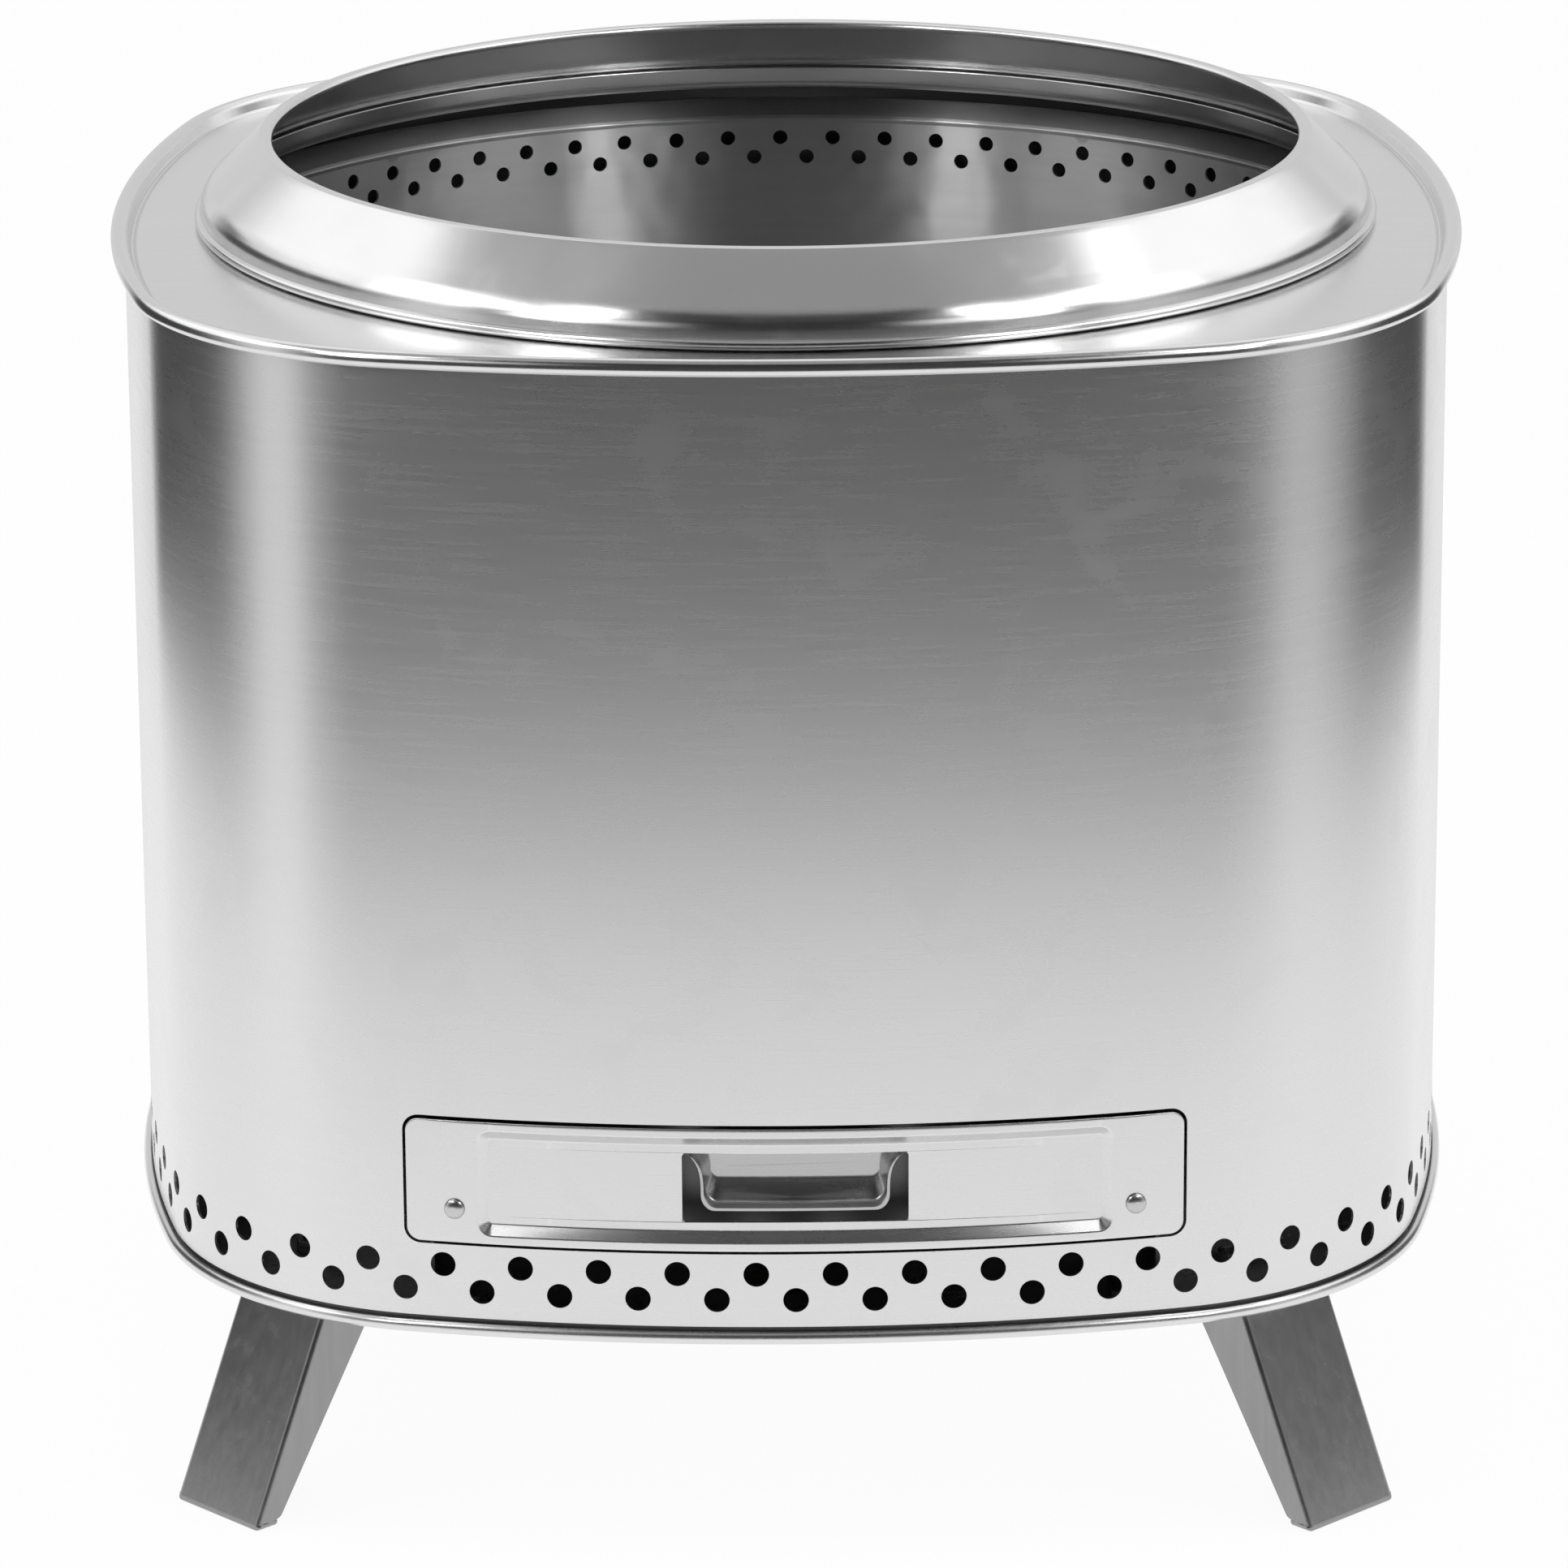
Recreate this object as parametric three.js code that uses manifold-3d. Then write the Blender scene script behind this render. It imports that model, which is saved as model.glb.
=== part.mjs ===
// Square, double-walled steel fire barrel on four legs.
// Millimetres, +Z up, the drawer towards -Y, the origin on the ground under the middle of the body.
import * as THREE from 'three';
import { mergeGeometries, mergeVertices } from 'three/addons/utils/BufferGeometryUtils.js';
import Module from 'manifold-3d';

// Body, seen from above: four gently bowed sides joined by round corners
const bodyWidth = 500; // across the flats of the wall
const sideArcRadius = 607;
const cornerArcRadius = 124;
const bodyHeight = 365; // the pan's lower edge to the deck's seam
const legHeight = 84; // the ground to the pan's lower edge
const sheet = 1; // all pressed sheet
const clearance = 0.3; // between pieces that touch
const overrun = 5; // how far a cutter runs past what it cuts

// Rolled rim that closes the top of the wall
const rimProud = 5.1;
const rimHeight = 6.65;
const rimBelowSeam = 2;
const rimInset = 2.6; // where the rim's inner wall meets the deck
const rimShares = [ // out from the wall, up from the rim's underside
  [0.08, 0],
  [0.37, 0.01],
  [0.82, 0.18],
  [1, 0.52],
  [0.82, 0.86],
  [0.37, 1],
  [-0.07, 0.86],
];

// Deck
const deckRise = 0.8; // the deck rises a little towards its opening
const collarInset = 14.7; // the opening's collar lies this far inside the drum wall
const collarHeight = 9.8; // above the underside of the rim
const collarFold = 6; // radius of the fold between deck and collar

// Bottom pan and its rolled edge
const panProud = 3.3;
const panLip = 6;
const panFlangeHeight = 11;
const panFloorHeight = 3; // underside of the floor above the pan's lower edge
const panRoll = 1.2; // from the wall out to the end of the roll's flat underside
const panShares = [ // out from the wall, up from the pan's lower edge
  [0.79, 0.11],
  [1, 0.39],
  [0.79, 0.67],
  [0.29, 0.78],
  [-0.21, 0.68],
];

// Air holes low in the wall, in two staggered rows
const airHoleRadius = 4.7;
const airHolePitch = 28.8;
const airRowLow = 16.7;
const airRowHigh = 26.6;
const airHolesEachSide = 28;

// Flame ring
const ringFoot = 4.4; // how far the hem stands out from the deck's collar
const ringWidth = 30.1; // from the hem in to the mouth
const ringHeight = 31.9;
const ringShares = [ // in from the hem, up from the ring's underside
  [0.045, 0],
  [0.015, 0.02],
  [0, 0.063],
  [0.018, 0.105],
  [0.06, 0.125],
  [0.089, 0.26],
  [0.118, 0.335],
  [0.234, 0.448],
  [0.531, 0.721],
  [0.828, 0.99],
  [0.848, 1],
  [0.96, 1],
  [0.997, 0.975],
  [1, 0.925],
  [0.957, 0.897],
  [0.865, 0.953],
  [0.558, 0.687],
  [0.264, 0.417],
  [0.162, 0.34],
  [0.12, 0.26],
  [0.096, 0.15],
  [0.084, 0.04],
];

// Fire chamber
const airGap = 14.3; // between the wall and the drum at the flats
const drumBottom = 95; // above the pan's lower edge
const drumCrease = 16; // where the top flange starts, below the seam
const flangeRise = 5; // of the cone, from the crease to the rim of the flange
const flangeRim = 2.2; // width of the flat rim at the wall
const drumHoleRadius = 3;
const drumHolePitch = 21.4;
const drumHoleCount = 68;
const drumRowHigh = 24.5; // below the seam
const drumRowLow = 32.5;
const drumHoleTurn = -0.0428; // radians that the pattern is turned about the axis

// Floor of the chamber, and its grate
const floorFlange = 17; // height of the welded flange
const floorFall = 4.5; // from the wall to the seat
const seatRadius = 129.5;
const seatDepth = 3.5;
const ashHoleRadius = 108;
const ashLip = 3.5; // how far the ash opening's lip hangs down
const grateThickness = 3;
const slotWidth = 9;
const slotPitch = 26;
const slotEnd = 14; // solid edge around the slots
const slotRib = 12; // solid rib between the two columns of slots
const slotsEachSide = 3;

// Spacers that hold the drum inside the wall at the corners
const bracketWidth = 30;
const bracketHeight = 30;
const bracketSheet = 2;
const bracketLift = 25; // above the drum's lower edge

// Drawer opening and the drawer's front
const openingSide = 107.3; // from the flat of the side wall in to the opening
const openingHeight = 49.5;
const openingBottom = 34.4; // above the pan's lower edge
const openingRound = 6;
const frontSideGap = 1;
const frontBottomGap = 0.8;
const frontTopGap = 1.5;
const frontRound = 5;
const fieldMarginX = 26.2; // from the front's edge to its pressed field
const fieldMarginZ = 3.3;
const fieldRound = 4;
const fieldDepth = 3.1;
const fieldSlope = 3.8;
const windowWidth = 82.2;
const windowHeight = 26.5;
const windowBottom = 11.2; // above the opening's bottom
const windowRound = 1.6;
const fieldRingShares = [0.5]; // rings between the field's edge and the window

// Finger pull behind the window
const pullDepth = 11;
const pullGap = 5; // from the window's bottom up to the lip
const pullSideIn = 5.5; // how much narrower the lip is at its bottom
const pullTab = 3; // height of the tab behind the window's upper edge
const pullRound = 6;
const pullShares = [ // size of each ring of the bowl, and its depth
  [1, 0],
  [0.94, 0.5],
  [0.78, 1],
];

// Rivets that hold the front to the tray
const rivetInset = 7.6; // from the tray's side in to the rivet
const rivetHeight = 14; // above the opening's bottom
const rivetHeadRadius = 3.85;
const rivetHeadHeight = 2.2;
const rivetRadius = 2;
const rivetTailRadius = 3.2;
const rivetTailHeight = 1.4;
const rivetDomeShares = [ // of the head's radius and height
  [1, 0],
  [0.9, 0.45],
  [0.6, 0.82],
];

// Ash tray and its rails
const traySideGap = 10.7; // between the tray and the side of the opening
const trayLift = 3.1; // above the opening's bottom
const trayHeight = 41.7;
const trayInset = 9.474; // from the front's face, at the tray's side, back to the tray
const pullRoom = 2; // at least this much between the finger pull and the tray
const trayLength = 344;
const earWidth = 14.5;
const earLow = 3.7; // above the tray's underside
const earHeight = 16;
const railSheet = 1.5;
const railLedge = 12;
const railGuide = 14;
const railFlange = 16; // turned in on the pan's floor
const railInset = 11; // behind the tray's front
const railPast = 7; // past the tray's rear

// Legs and their bolts
const legInset = 22.6; // from the corner of the wall in to the leg's outer face
const legSplay = 24.65; // degrees from the vertical
const legTurn = -1.3; // degrees that the four legs sit round from the corners
const legWidth = 46.8;
const legSheet = 2;
const footBend = 1.5;
const footDepth = 8;
const sideWidthTop = 27.8; // width of the leg's turned-in sides at the pan
const sideWidthFoot = 10.5;
const sideRoundHeight = 2.4;
const tabDepth = 37;
const boltInset = 19; // from the leg's outer face to the bolts
const boltSpacing = 18;
const boltRadius = 3;
const headRadius = 5.8;
const headHeight = 4;
const nutHeight = 5;
const boltPast = 1.5; // bolt's end past the nut

// How finely the round forms are divided
const sideSteps = 4;
const cornerSteps = 7;
const roundSteps = 48;
const holeSides = 6;
const boltHoleSides = 8;
const boltSides = 6;
const rivetSides = 12;
const frontCornerSteps = 2;
const frontEdgeSteps = 8;

const wasm = await Module();
wasm.setup();

// Levels
const panBase = legHeight;
const seam = panBase + bodyHeight;
const rimBase = seam - rimBelowSeam;
const openingWidth = bodyWidth - 2 * openingSide;
const openingBase = panBase + openingBottom;
const openingTop = openingBase + openingHeight;
const frontBase = openingBase + frontBottomGap;
const frontTop = openingTop - frontTopGap;
const windowBase = openingBase + windowBottom;
const windowTop = windowBase + windowHeight;
const drumBase = panBase + drumBottom;
const drumTop = seam - drumCrease;
const trayBase = openingBase + trayLift;
const panFloorUnder = panBase + panFloorHeight;
const panFloorTop = panFloorUnder + sheet;

// Radii
const halfWidth = bodyWidth / 2;
const drumOuter = halfWidth - sheet - airGap;
const drumInner = drumOuter - sheet;
const flangeRadius = halfWidth - sheet - clearance;
const collarInner = drumInner - collarInset;
const collarOuter = collarInner + sheet;
const hemRadius = collarOuter + ringFoot;
const halfFront = openingWidth / 2 - frontSideGap;
const halfTray = openingWidth / 2 - traySideGap;
const rivetPlace = halfTray - rivetInset;

// Body outline: centres and tangent angle of its two kinds of arc
const sideCentre = sideArcRadius - halfWidth;
const radiusStep = sideArcRadius - cornerArcRadius;
const cornerCentre = (Math.sqrt(2 * radiusStep ** 2 - sideCentre ** 2) - sideCentre) / 2;
const sideAngle = Math.atan2(cornerCentre, cornerCentre + sideCentre);
const quarterTurn = Math.PI / 2;
const cornerReach = cornerCentre * Math.SQRT2 + cornerArcRadius;

// Point of the outline, moved out by an offset, where the wall faces the given angle from -Y
function outlinePoint(angle, offset, z) {
  const quarter = Math.round(angle / quarterTurn);
  const local = angle - quarter * quarterTurn;
  const onCorner = Math.abs(local) > sideAngle;
  const side = Math.sign(local);
  const radius = (onCorner ? cornerArcRadius : sideArcRadius) + offset;
  const centreX = onCorner ? side * cornerCentre : 0;
  const centreY = onCorner ? -cornerCentre : sideCentre;
  const point = new THREE.Vector3(
    centreX + radius * Math.sin(local),
    centreY - radius * Math.cos(local),
    z,
  );
  return point.applyAxisAngle(new THREE.Vector3(0, 0, 1), quarter * quarterTurn);
}

// Facing angle at a distance along the wall from the middle of the front
function angleAlong(distance) {
  const sideLength = sideArcRadius * sideAngle;
  const cornerLength = cornerArcRadius * (quarterTurn - 2 * sideAngle);
  const quarterLength = 2 * sideLength + cornerLength;
  const quarter = Math.floor(distance / quarterLength);
  const rest = distance - quarter * quarterLength;
  let local = rest / sideArcRadius;
  if (rest > sideLength) {
    local = sideAngle + (rest - sideLength) / cornerArcRadius;
  }
  if (rest > sideLength + cornerLength) {
    local = quarterTurn - (quarterLength - rest) / sideArcRadius;
  }
  return quarter * quarterTurn + local;
}

// The front wall's Y at a given X, moved out by an offset
function frontY(x, offset) {
  const sideRadius = sideArcRadius + offset;
  const cornerRadius = cornerArcRadius + offset;
  const reach = Math.abs(x);
  if (reach <= sideRadius * Math.sin(sideAngle)) {
    return sideCentre - Math.sqrt(sideRadius ** 2 - reach ** 2);
  }
  return -cornerCentre - Math.sqrt(cornerRadius ** 2 - (reach - cornerCentre) ** 2);
}

const outlineAngles = [];
for (let quarter = 0; quarter < 4; quarter++) {
  for (let i = 0; i < sideSteps; i++) {
    outlineAngles.push(quarter * quarterTurn + sideAngle * (2 * i / sideSteps - 1));
  }
  for (let i = 0; i < cornerSteps; i++) {
    const swept = (quarterTurn - 2 * sideAngle) * i / cornerSteps;
    outlineAngles.push(quarter * quarterTurn + sideAngle + swept);
  }
}

function outlineRing(offset, z) {
  return outlineAngles.map((angle) => outlinePoint(angle, offset, z));
}

function circleRing(radius, z) {
  return outlineAngles.map(
    (angle) => new THREE.Vector3(radius * Math.sin(angle), -radius * Math.cos(angle), z),
  );
}

// Keeps only positions and merges shared corners
function weld(geometry) {
  const bare = geometry.clone();
  bare.deleteAttribute('normal');
  bare.deleteAttribute('uv');
  return mergeVertices(bare);
}

function signedVolume(positions, index) {
  const a = new THREE.Vector3();
  const b = new THREE.Vector3();
  const c = new THREE.Vector3();
  let sum = 0;
  for (let i = 0; i < index.length; i += 3) {
    a.fromArray(positions, index[i] * 3);
    b.fromArray(positions, index[i + 1] * 3);
    c.fromArray(positions, index[i + 2] * 3);
    sum += a.dot(b.cross(c));
  }
  return sum;
}

// Solid whose skin runs through rings of matching points. Rings that don't close on
// themselves end in flat caps.
function loft(rings, closed) {
  const count = rings[0].length;
  const positions = rings.flat().flatMap((point) => point.toArray());
  const index = [];
  const last = closed ? rings.length : rings.length - 1;
  for (let r = 0; r < last; r++) {
    const low = r * count;
    const high = ((r + 1) % rings.length) * count;
    for (let i = 0; i < count; i++) {
      const j = (i + 1) % count;
      index.push(low + i, low + j, high + j, low + i, high + j, high + i);
    }
  }
  if (!closed) {
    const top = (rings.length - 1) * count;
    for (let i = 1; i < count - 1; i++) {
      index.push(0, i + 1, i, top, top + i, top + i + 1);
    }
  }
  if (signedVolume(positions, index) < 0) {
    index.reverse();
  }
  const geometry = new THREE.BufferGeometry();
  geometry.setAttribute('position', new THREE.Float32BufferAttribute(positions, 3));
  geometry.setIndex(index);
  return geometry;
}

// Round body about Z from [radius, height] points
function turned(points, sides) {
  const profile = points.map(([radius, height]) => new THREE.Vector2(radius, height));
  return new THREE.LatheGeometry(profile, sides).rotateX(quarterTurn);
}

// Round body whose section closes on itself
function turnedRing(points, sides) {
  const rings = points.map(([radius, height]) => {
    const ring = [];
    for (let i = 0; i < sides; i++) {
      const angle = 4 * quarterTurn * i / sides;
      ring.push(new THREE.Vector3(radius * Math.sin(angle), -radius * Math.cos(angle), height));
    }
    return ring;
  });
  return loft(rings, true);
}

// Prism across the body, from [y, z] points, centred on X
function acrossX(points, width, centreX = 0) {
  const shape = new THREE.Shape(points.map(([y, z]) => new THREE.Vector2(y, z)));
  const geometry = new THREE.ExtrudeGeometry(shape, { depth: width, bevelEnabled: false });
  geometry.translate(0, 0, -width / 2);
  const toBody = new THREE.Matrix4().makeBasis(
    new THREE.Vector3(0, 1, 0),
    new THREE.Vector3(0, 0, 1),
    new THREE.Vector3(1, 0, 0),
  );
  return geometry.applyMatrix4(toBody).translate(centreX, 0, 0);
}

// Prism along the body, from [x, z] points, between two values of Y
function alongY(points, yFrom, yTo) {
  const shape = new THREE.Shape(points.map(([x, z]) => new THREE.Vector2(x, z)));
  const geometry = new THREE.ExtrudeGeometry(shape, { depth: yTo - yFrom, bevelEnabled: false });
  return geometry.rotateX(quarterTurn).translate(0, yTo, 0);
}

function block(xFrom, xTo, yFrom, yTo, zFrom, zTo) {
  const geometry = new THREE.BoxGeometry(xTo - xFrom, yTo - yFrom, zTo - zFrom);
  return geometry.translate((xFrom + xTo) / 2, (yFrom + yTo) / 2, (zFrom + zTo) / 2);
}

function toSolid(geometry) {
  const welded = weld(geometry);
  return new wasm.Manifold(new wasm.Mesh({
    numProp: 3,
    vertProperties: new Float32Array(welded.attributes.position.array),
    triVerts: new Uint32Array(welded.index.array),
  }));
}

function toGeometry(solid) {
  const mesh = solid.getMesh();
  const geometry = new THREE.BufferGeometry();
  geometry.setAttribute('position', new THREE.Float32BufferAttribute(mesh.vertProperties, 3));
  geometry.setIndex(new THREE.Uint32BufferAttribute(mesh.triVerts, 1));
  return geometry;
}

function cut(geometry, cutters) {
  const merged = mergeGeometries(cutters.map(weld));
  return toGeometry(toSolid(geometry).subtract(toSolid(merged)));
}

function join(geometries) {
  const solids = geometries.map(toSolid);
  return toGeometry(solids.reduce((whole, solid) => whole.add(solid)));
}

// Rounded rectangle on the front wall, as a ring of points at an offset from the wall
function frontRing(halfX, zFrom, zTo, radius, offset, narrowing = 0) {
  const flat = [];
  const corners = [
    [halfX - radius, zTo - radius, 0],
    [-halfX + radius, zTo - radius, 1],
    [-halfX + radius, zFrom + radius, 2],
    [halfX - radius, zFrom + radius, 3],
  ];
  corners.forEach(([x, z, quarter]) => {
    for (let i = 0; i <= frontCornerSteps; i++) {
      const angle = quarterTurn * (quarter + i / frontCornerSteps);
      flat.push([x + radius * Math.cos(angle), z + radius * Math.sin(angle)]);
    }
    if (quarter % 2 === 1) {
      return;
    }
    const towards = quarter === 0 ? -1 : 1;
    const edgeZ = quarter === 0 ? zTo : zFrom;
    for (let i = 1; i < frontEdgeSteps; i++) {
      flat.push([towards * (halfX - radius) * (2 * i / frontEdgeSteps - 1), edgeZ]);
    }
  });
  return flat.map(([x, z]) => {
    const drawnIn = x * (1 - narrowing * (zTo - z) / (zTo - zFrom));
    return new THREE.Vector3(drawnIn, frontY(drawnIn, offset), z);
  });
}

// Materials, from the photo
function steel(color, roughness) {
  return new THREE.MeshStandardMaterial({ color, roughness, metalness: 1 });
}
const brushedSteel = steel(0xc4c4c4, 0.34);
const ringSteel = steel(0xbdbdbd, 0.28);
const chamberSteel = steel(0xa9a9a9, 0.3);
const plainSteel = steel(0x8f8f8f, 0.45);
const legSteel = steel(0x7d7d7d, 0.4);
const boltSteel = steel(0xb0b0b0, 0.35);

const barrel = new THREE.Group();

function place(name, geometry, material, parent = barrel) {
  const mesh = new THREE.Mesh(weld(geometry), material);
  mesh.name = name;
  parent.add(mesh);
  return mesh;
}

// Base pan
function basePan() {
  const beads = panShares.map(([out, up]) => outlineRing(out * panProud, panBase + up * panLip));
  const inner = -sheet - clearance;
  const rings = [
    outlineRing(inner - 2 * sheet, panFloorUnder),
    outlineRing(inner - sheet, panBase + sheet),
    outlineRing(inner + clearance, panBase),
    outlineRing(panRoll, panBase),
    ...beads,
    outlineRing(inner, panBase + panLip),
    outlineRing(inner, panBase + panFlangeHeight),
    outlineRing(inner - sheet, panBase + panFlangeHeight),
    outlineRing(inner - sheet, panFloorTop + sheet),
    outlineRing(inner - 2 * sheet, panFloorTop),
  ];
  return cut(loft(rings, false), boltHoles());
}

// Bolt places, as turns about Z and sideways offsets at the leg
const boltReach = cornerReach - legInset - boltInset;
const cornerAngles = [1, 3, 5, 7].map((eighth) => eighth * quarterTurn / 2);
const legAngles = cornerAngles.map((angle) => angle + THREE.MathUtils.degToRad(legTurn));
const bothSides = [-1, 1];

function boltHole() {
  const radius = (boltRadius + clearance) / Math.cos(Math.PI / boltHoleSides);
  const height = panFloorHeight + sheet + 2 * legSheet + 2 * overrun;
  const hole = new THREE.CylinderGeometry(radius, radius, height, boltHoleSides);
  return hole.rotateX(quarterTurn).translate(0, -boltReach, panBase);
}

function boltHoles() {
  return legAngles.flatMap((angle) => bothSides.map(
    (side) => boltHole().translate(side * boltSpacing / 2, 0, 0).rotateZ(angle),
  ));
}

// Outer wall
function airHole(count, height) {
  const angle = angleAlong(count * airHolePitch);
  const length = 2 * overrun;
  const hole = new THREE.CylinderGeometry(airHoleRadius, airHoleRadius, length, holeSides);
  const centre = outlinePoint(angle, 0, panBase + height);
  return hole.rotateZ(angle).translate(centre.x, centre.y, centre.z);
}

function outerShell() {
  const low = panBase + panLip + clearance;
  const high = rimBase - clearance;
  const wall = loft([
    outlineRing(0, low),
    outlineRing(0, high),
    outlineRing(-sheet, high),
    outlineRing(-sheet, low),
  ], true);
  const holes = [];
  for (let i = -airHolesEachSide; i <= airHolesEachSide; i++) {
    holes.push(airHole(i, airRowLow));
  }
  for (let i = -airHolesEachSide; i <= airHolesEachSide + 1; i++) {
    holes.push(airHole(i - 1 / 2, airRowHigh));
  }
  const openingRing = frontRing(openingWidth / 2, openingBase, openingTop, openingRound, 0);
  const openingDepths = [-halfWidth - overrun, frontY(openingWidth / 2, -overrun)];
  const openingRings = openingDepths.map(
    (y) => openingRing.map((point) => new THREE.Vector3(point.x, y, point.z)),
  );
  return cut(wall, [...holes, loft(openingRings, false)]);
}

// Deck with its rim and collar
function topDeck() {
  const beads = rimShares.map(([out, up]) => outlineRing(out * rimProud, rimBase + up * rimHeight));
  const under = rimBase + deckRise;
  const over = under + sheet;
  const collarTop = rimBase + collarHeight;
  const turnedUp = collarFold / 3;
  const rings = [
    ...beads,
    outlineRing(-rimInset, rimBase + sheet),
    circleRing(collarInner + collarFold, over),
    circleRing(collarOuter + sheet, over + sheet / 2),
    circleRing(collarOuter, over + turnedUp),
    circleRing(collarOuter, collarTop),
    circleRing(collarInner, collarTop),
    circleRing(collarInner, under + turnedUp),
    circleRing(collarInner + sheet, under + sheet / 2),
    circleRing(collarInner + collarFold, under),
  ];
  return loft(rings, true);
}

// Flame ring
function flameRing() {
  const base = rimBase + deckRise + sheet + clearance;
  const points = ringShares.map(([inward, up]) => [hemRadius - inward * ringWidth, base + up * ringHeight]);
  return turnedRing(points, roundSteps);
}

// Fire chamber wall with its flared flange
function innerDrum() {
  const rimStart = flangeRadius - flangeRim;
  const rimTop = drumTop + flangeRise;
  const points = [
    [drumInner, drumBase],
    [drumInner, drumTop],
    [rimStart, rimTop],
    [flangeRadius, rimTop],
    [flangeRadius, rimTop - sheet],
    [rimStart, rimTop - sheet],
    [drumOuter, drumTop - sheet],
    [drumOuter, drumBase],
  ];
  const pitchAngle = drumHolePitch / drumInner;
  const holes = [];
  for (let i = 0; i < drumHoleCount; i++) {
    const step = i - (drumHoleCount - 1) / 2;
    holes.push(drumHole(step * pitchAngle, seam - drumRowHigh));
    holes.push(drumHole((step + 1 / 2) * pitchAngle, seam - drumRowLow));
  }
  return cut(turnedRing(points, roundSteps), holes);
}

function drumHole(angle, height) {
  const hole = new THREE.CylinderGeometry(drumHoleRadius, drumHoleRadius, 2 * overrun, holeSides);
  return hole.translate(0, -drumInner, 0).rotateZ(2 * quarterTurn + drumHoleTurn - angle)
    .translate(0, 0, height);
}

// Floor of the chamber
const floorEdge = drumBase + sheet;
const seatTop = floorEdge - floorFall - seatDepth + sheet;

function drumFloor() {
  const outer = drumInner - clearance;
  const top = drumBase + floorFlange;
  const seatRim = seatRadius + sheet;
  const points = [
    [outer - sheet, top],
    [outer - sheet, floorEdge + sheet],
    [seatRim, floorEdge - floorFall + sheet],
    [seatRadius, seatTop],
    [ashHoleRadius, seatTop],
    [ashHoleRadius, seatTop - ashLip],
    [ashHoleRadius + sheet, seatTop - ashLip],
    [ashHoleRadius + sheet, seatTop - sheet],
    [seatRadius + sheet, seatTop - sheet],
    [seatRim + sheet, floorEdge - floorFall],
    [outer, floorEdge],
    [outer, top],
  ];
  return turnedRing(points, roundSteps);
}

// Grate with two columns of slots
function fireGrate() {
  const radius = seatRadius - 2 * clearance;
  const low = seatTop + clearance;
  const high = low + grateThickness;
  const disc = turned([[0, low], [radius, low], [radius, high], [0, high]], roundSteps);
  const slots = [];
  for (let i = -slotsEachSide; i <= slotsEachSide; i++) {
    const y = i * slotPitch;
    const reach = Math.sqrt((radius - slotEnd) ** 2 - (Math.abs(y) + slotWidth / 2) ** 2);
    const near = y - slotWidth / 2;
    const far = y + slotWidth / 2;
    slots.push(block(slotRib / 2, reach, near, far, low - overrun, high + overrun));
    slots.push(block(-reach, -slotRib / 2, near, far, low - overrun, high + overrun));
  }
  return cut(disc, slots);
}

// Folded spacer between the drum and the wall, modelled towards -Y
function drumBracket() {
  const near = drumOuter + clearance;
  const wallInside = cornerArcRadius - sheet;
  const leafEdge = Math.sqrt(wallInside ** 2 - (bracketWidth / 2) ** 2);
  const facetTurn = (quarterTurn - 2 * sideAngle) / cornerSteps;
  const facetGap = wallInside * (1 - Math.cos(facetTurn / 2));
  const far = cornerCentre * Math.SQRT2 + leafEdge - facetGap - clearance;
  const low = drumBase + bracketLift;
  const high = low + bracketHeight;
  return acrossX([
    [-near, low],
    [-near, high],
    [-near - bracketSheet, high],
    [-near - bracketSheet, low + bracketSheet],
    [-far + bracketSheet, low + bracketSheet],
    [-far + bracketSheet, high],
    [-far, high],
    [-far, low],
  ], bracketWidth);
}

// Drawer front: rings over its face, in through the window and back behind
function drawerFront() {
  const fieldX = halfFront - fieldMarginX;
  const fieldLow = frontBase + fieldMarginZ;
  const fieldHigh = frontTop - fieldMarginZ;
  const flatX = fieldX - fieldSlope;
  const flatLow = fieldLow + fieldSlope;
  const flatHigh = fieldHigh - fieldSlope;
  const flatRound = fieldRound - sheet;
  const halfWindow = windowWidth / 2;
  const behind = sheet / 2;
  const mix = THREE.MathUtils.lerp;
  const flatRings = (offset, grow) => [0, ...fieldRingShares, 1].map((share) => frontRing(
    mix(flatX + grow, halfWindow, share),
    mix(flatLow - grow, windowBase, share),
    mix(flatHigh + grow, windowTop, share),
    mix(flatRound, windowRound, share),
    offset,
  ));
  const rings = [
    frontRing(halfFront, frontBase, frontTop, frontRound, 0),
    frontRing(fieldX, fieldLow, fieldHigh, fieldRound, 0),
    ...flatRings(-fieldDepth, 0),
    ...flatRings(-fieldDepth - sheet, behind).reverse(),
    frontRing(fieldX + behind, fieldLow - behind, fieldHigh + behind, fieldRound, -sheet),
    frontRing(halfFront, frontBase, frontTop, frontRound, -sheet),
  ];
  return cut(loft(rings, true), [rivetHole(-1), rivetHole(1)]);
}

const rivetTurn = Math.asin(rivetPlace / sideArcRadius);

// Moves a piece modelled towards -Y on the origin to a rivet's place on the front wall
function toRivet(piece, side) {
  const x = side * rivetPlace;
  return piece.rotateZ(side * rivetTurn).translate(x, frontY(x, 0), openingBase + rivetHeight);
}

function rivetHole(side) {
  const radius = (rivetRadius + clearance) / Math.cos(Math.PI / boltHoleSides);
  return toRivet(new THREE.CylinderGeometry(radius, radius, 2 * overrun, boltHoleSides), side);
}

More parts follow.
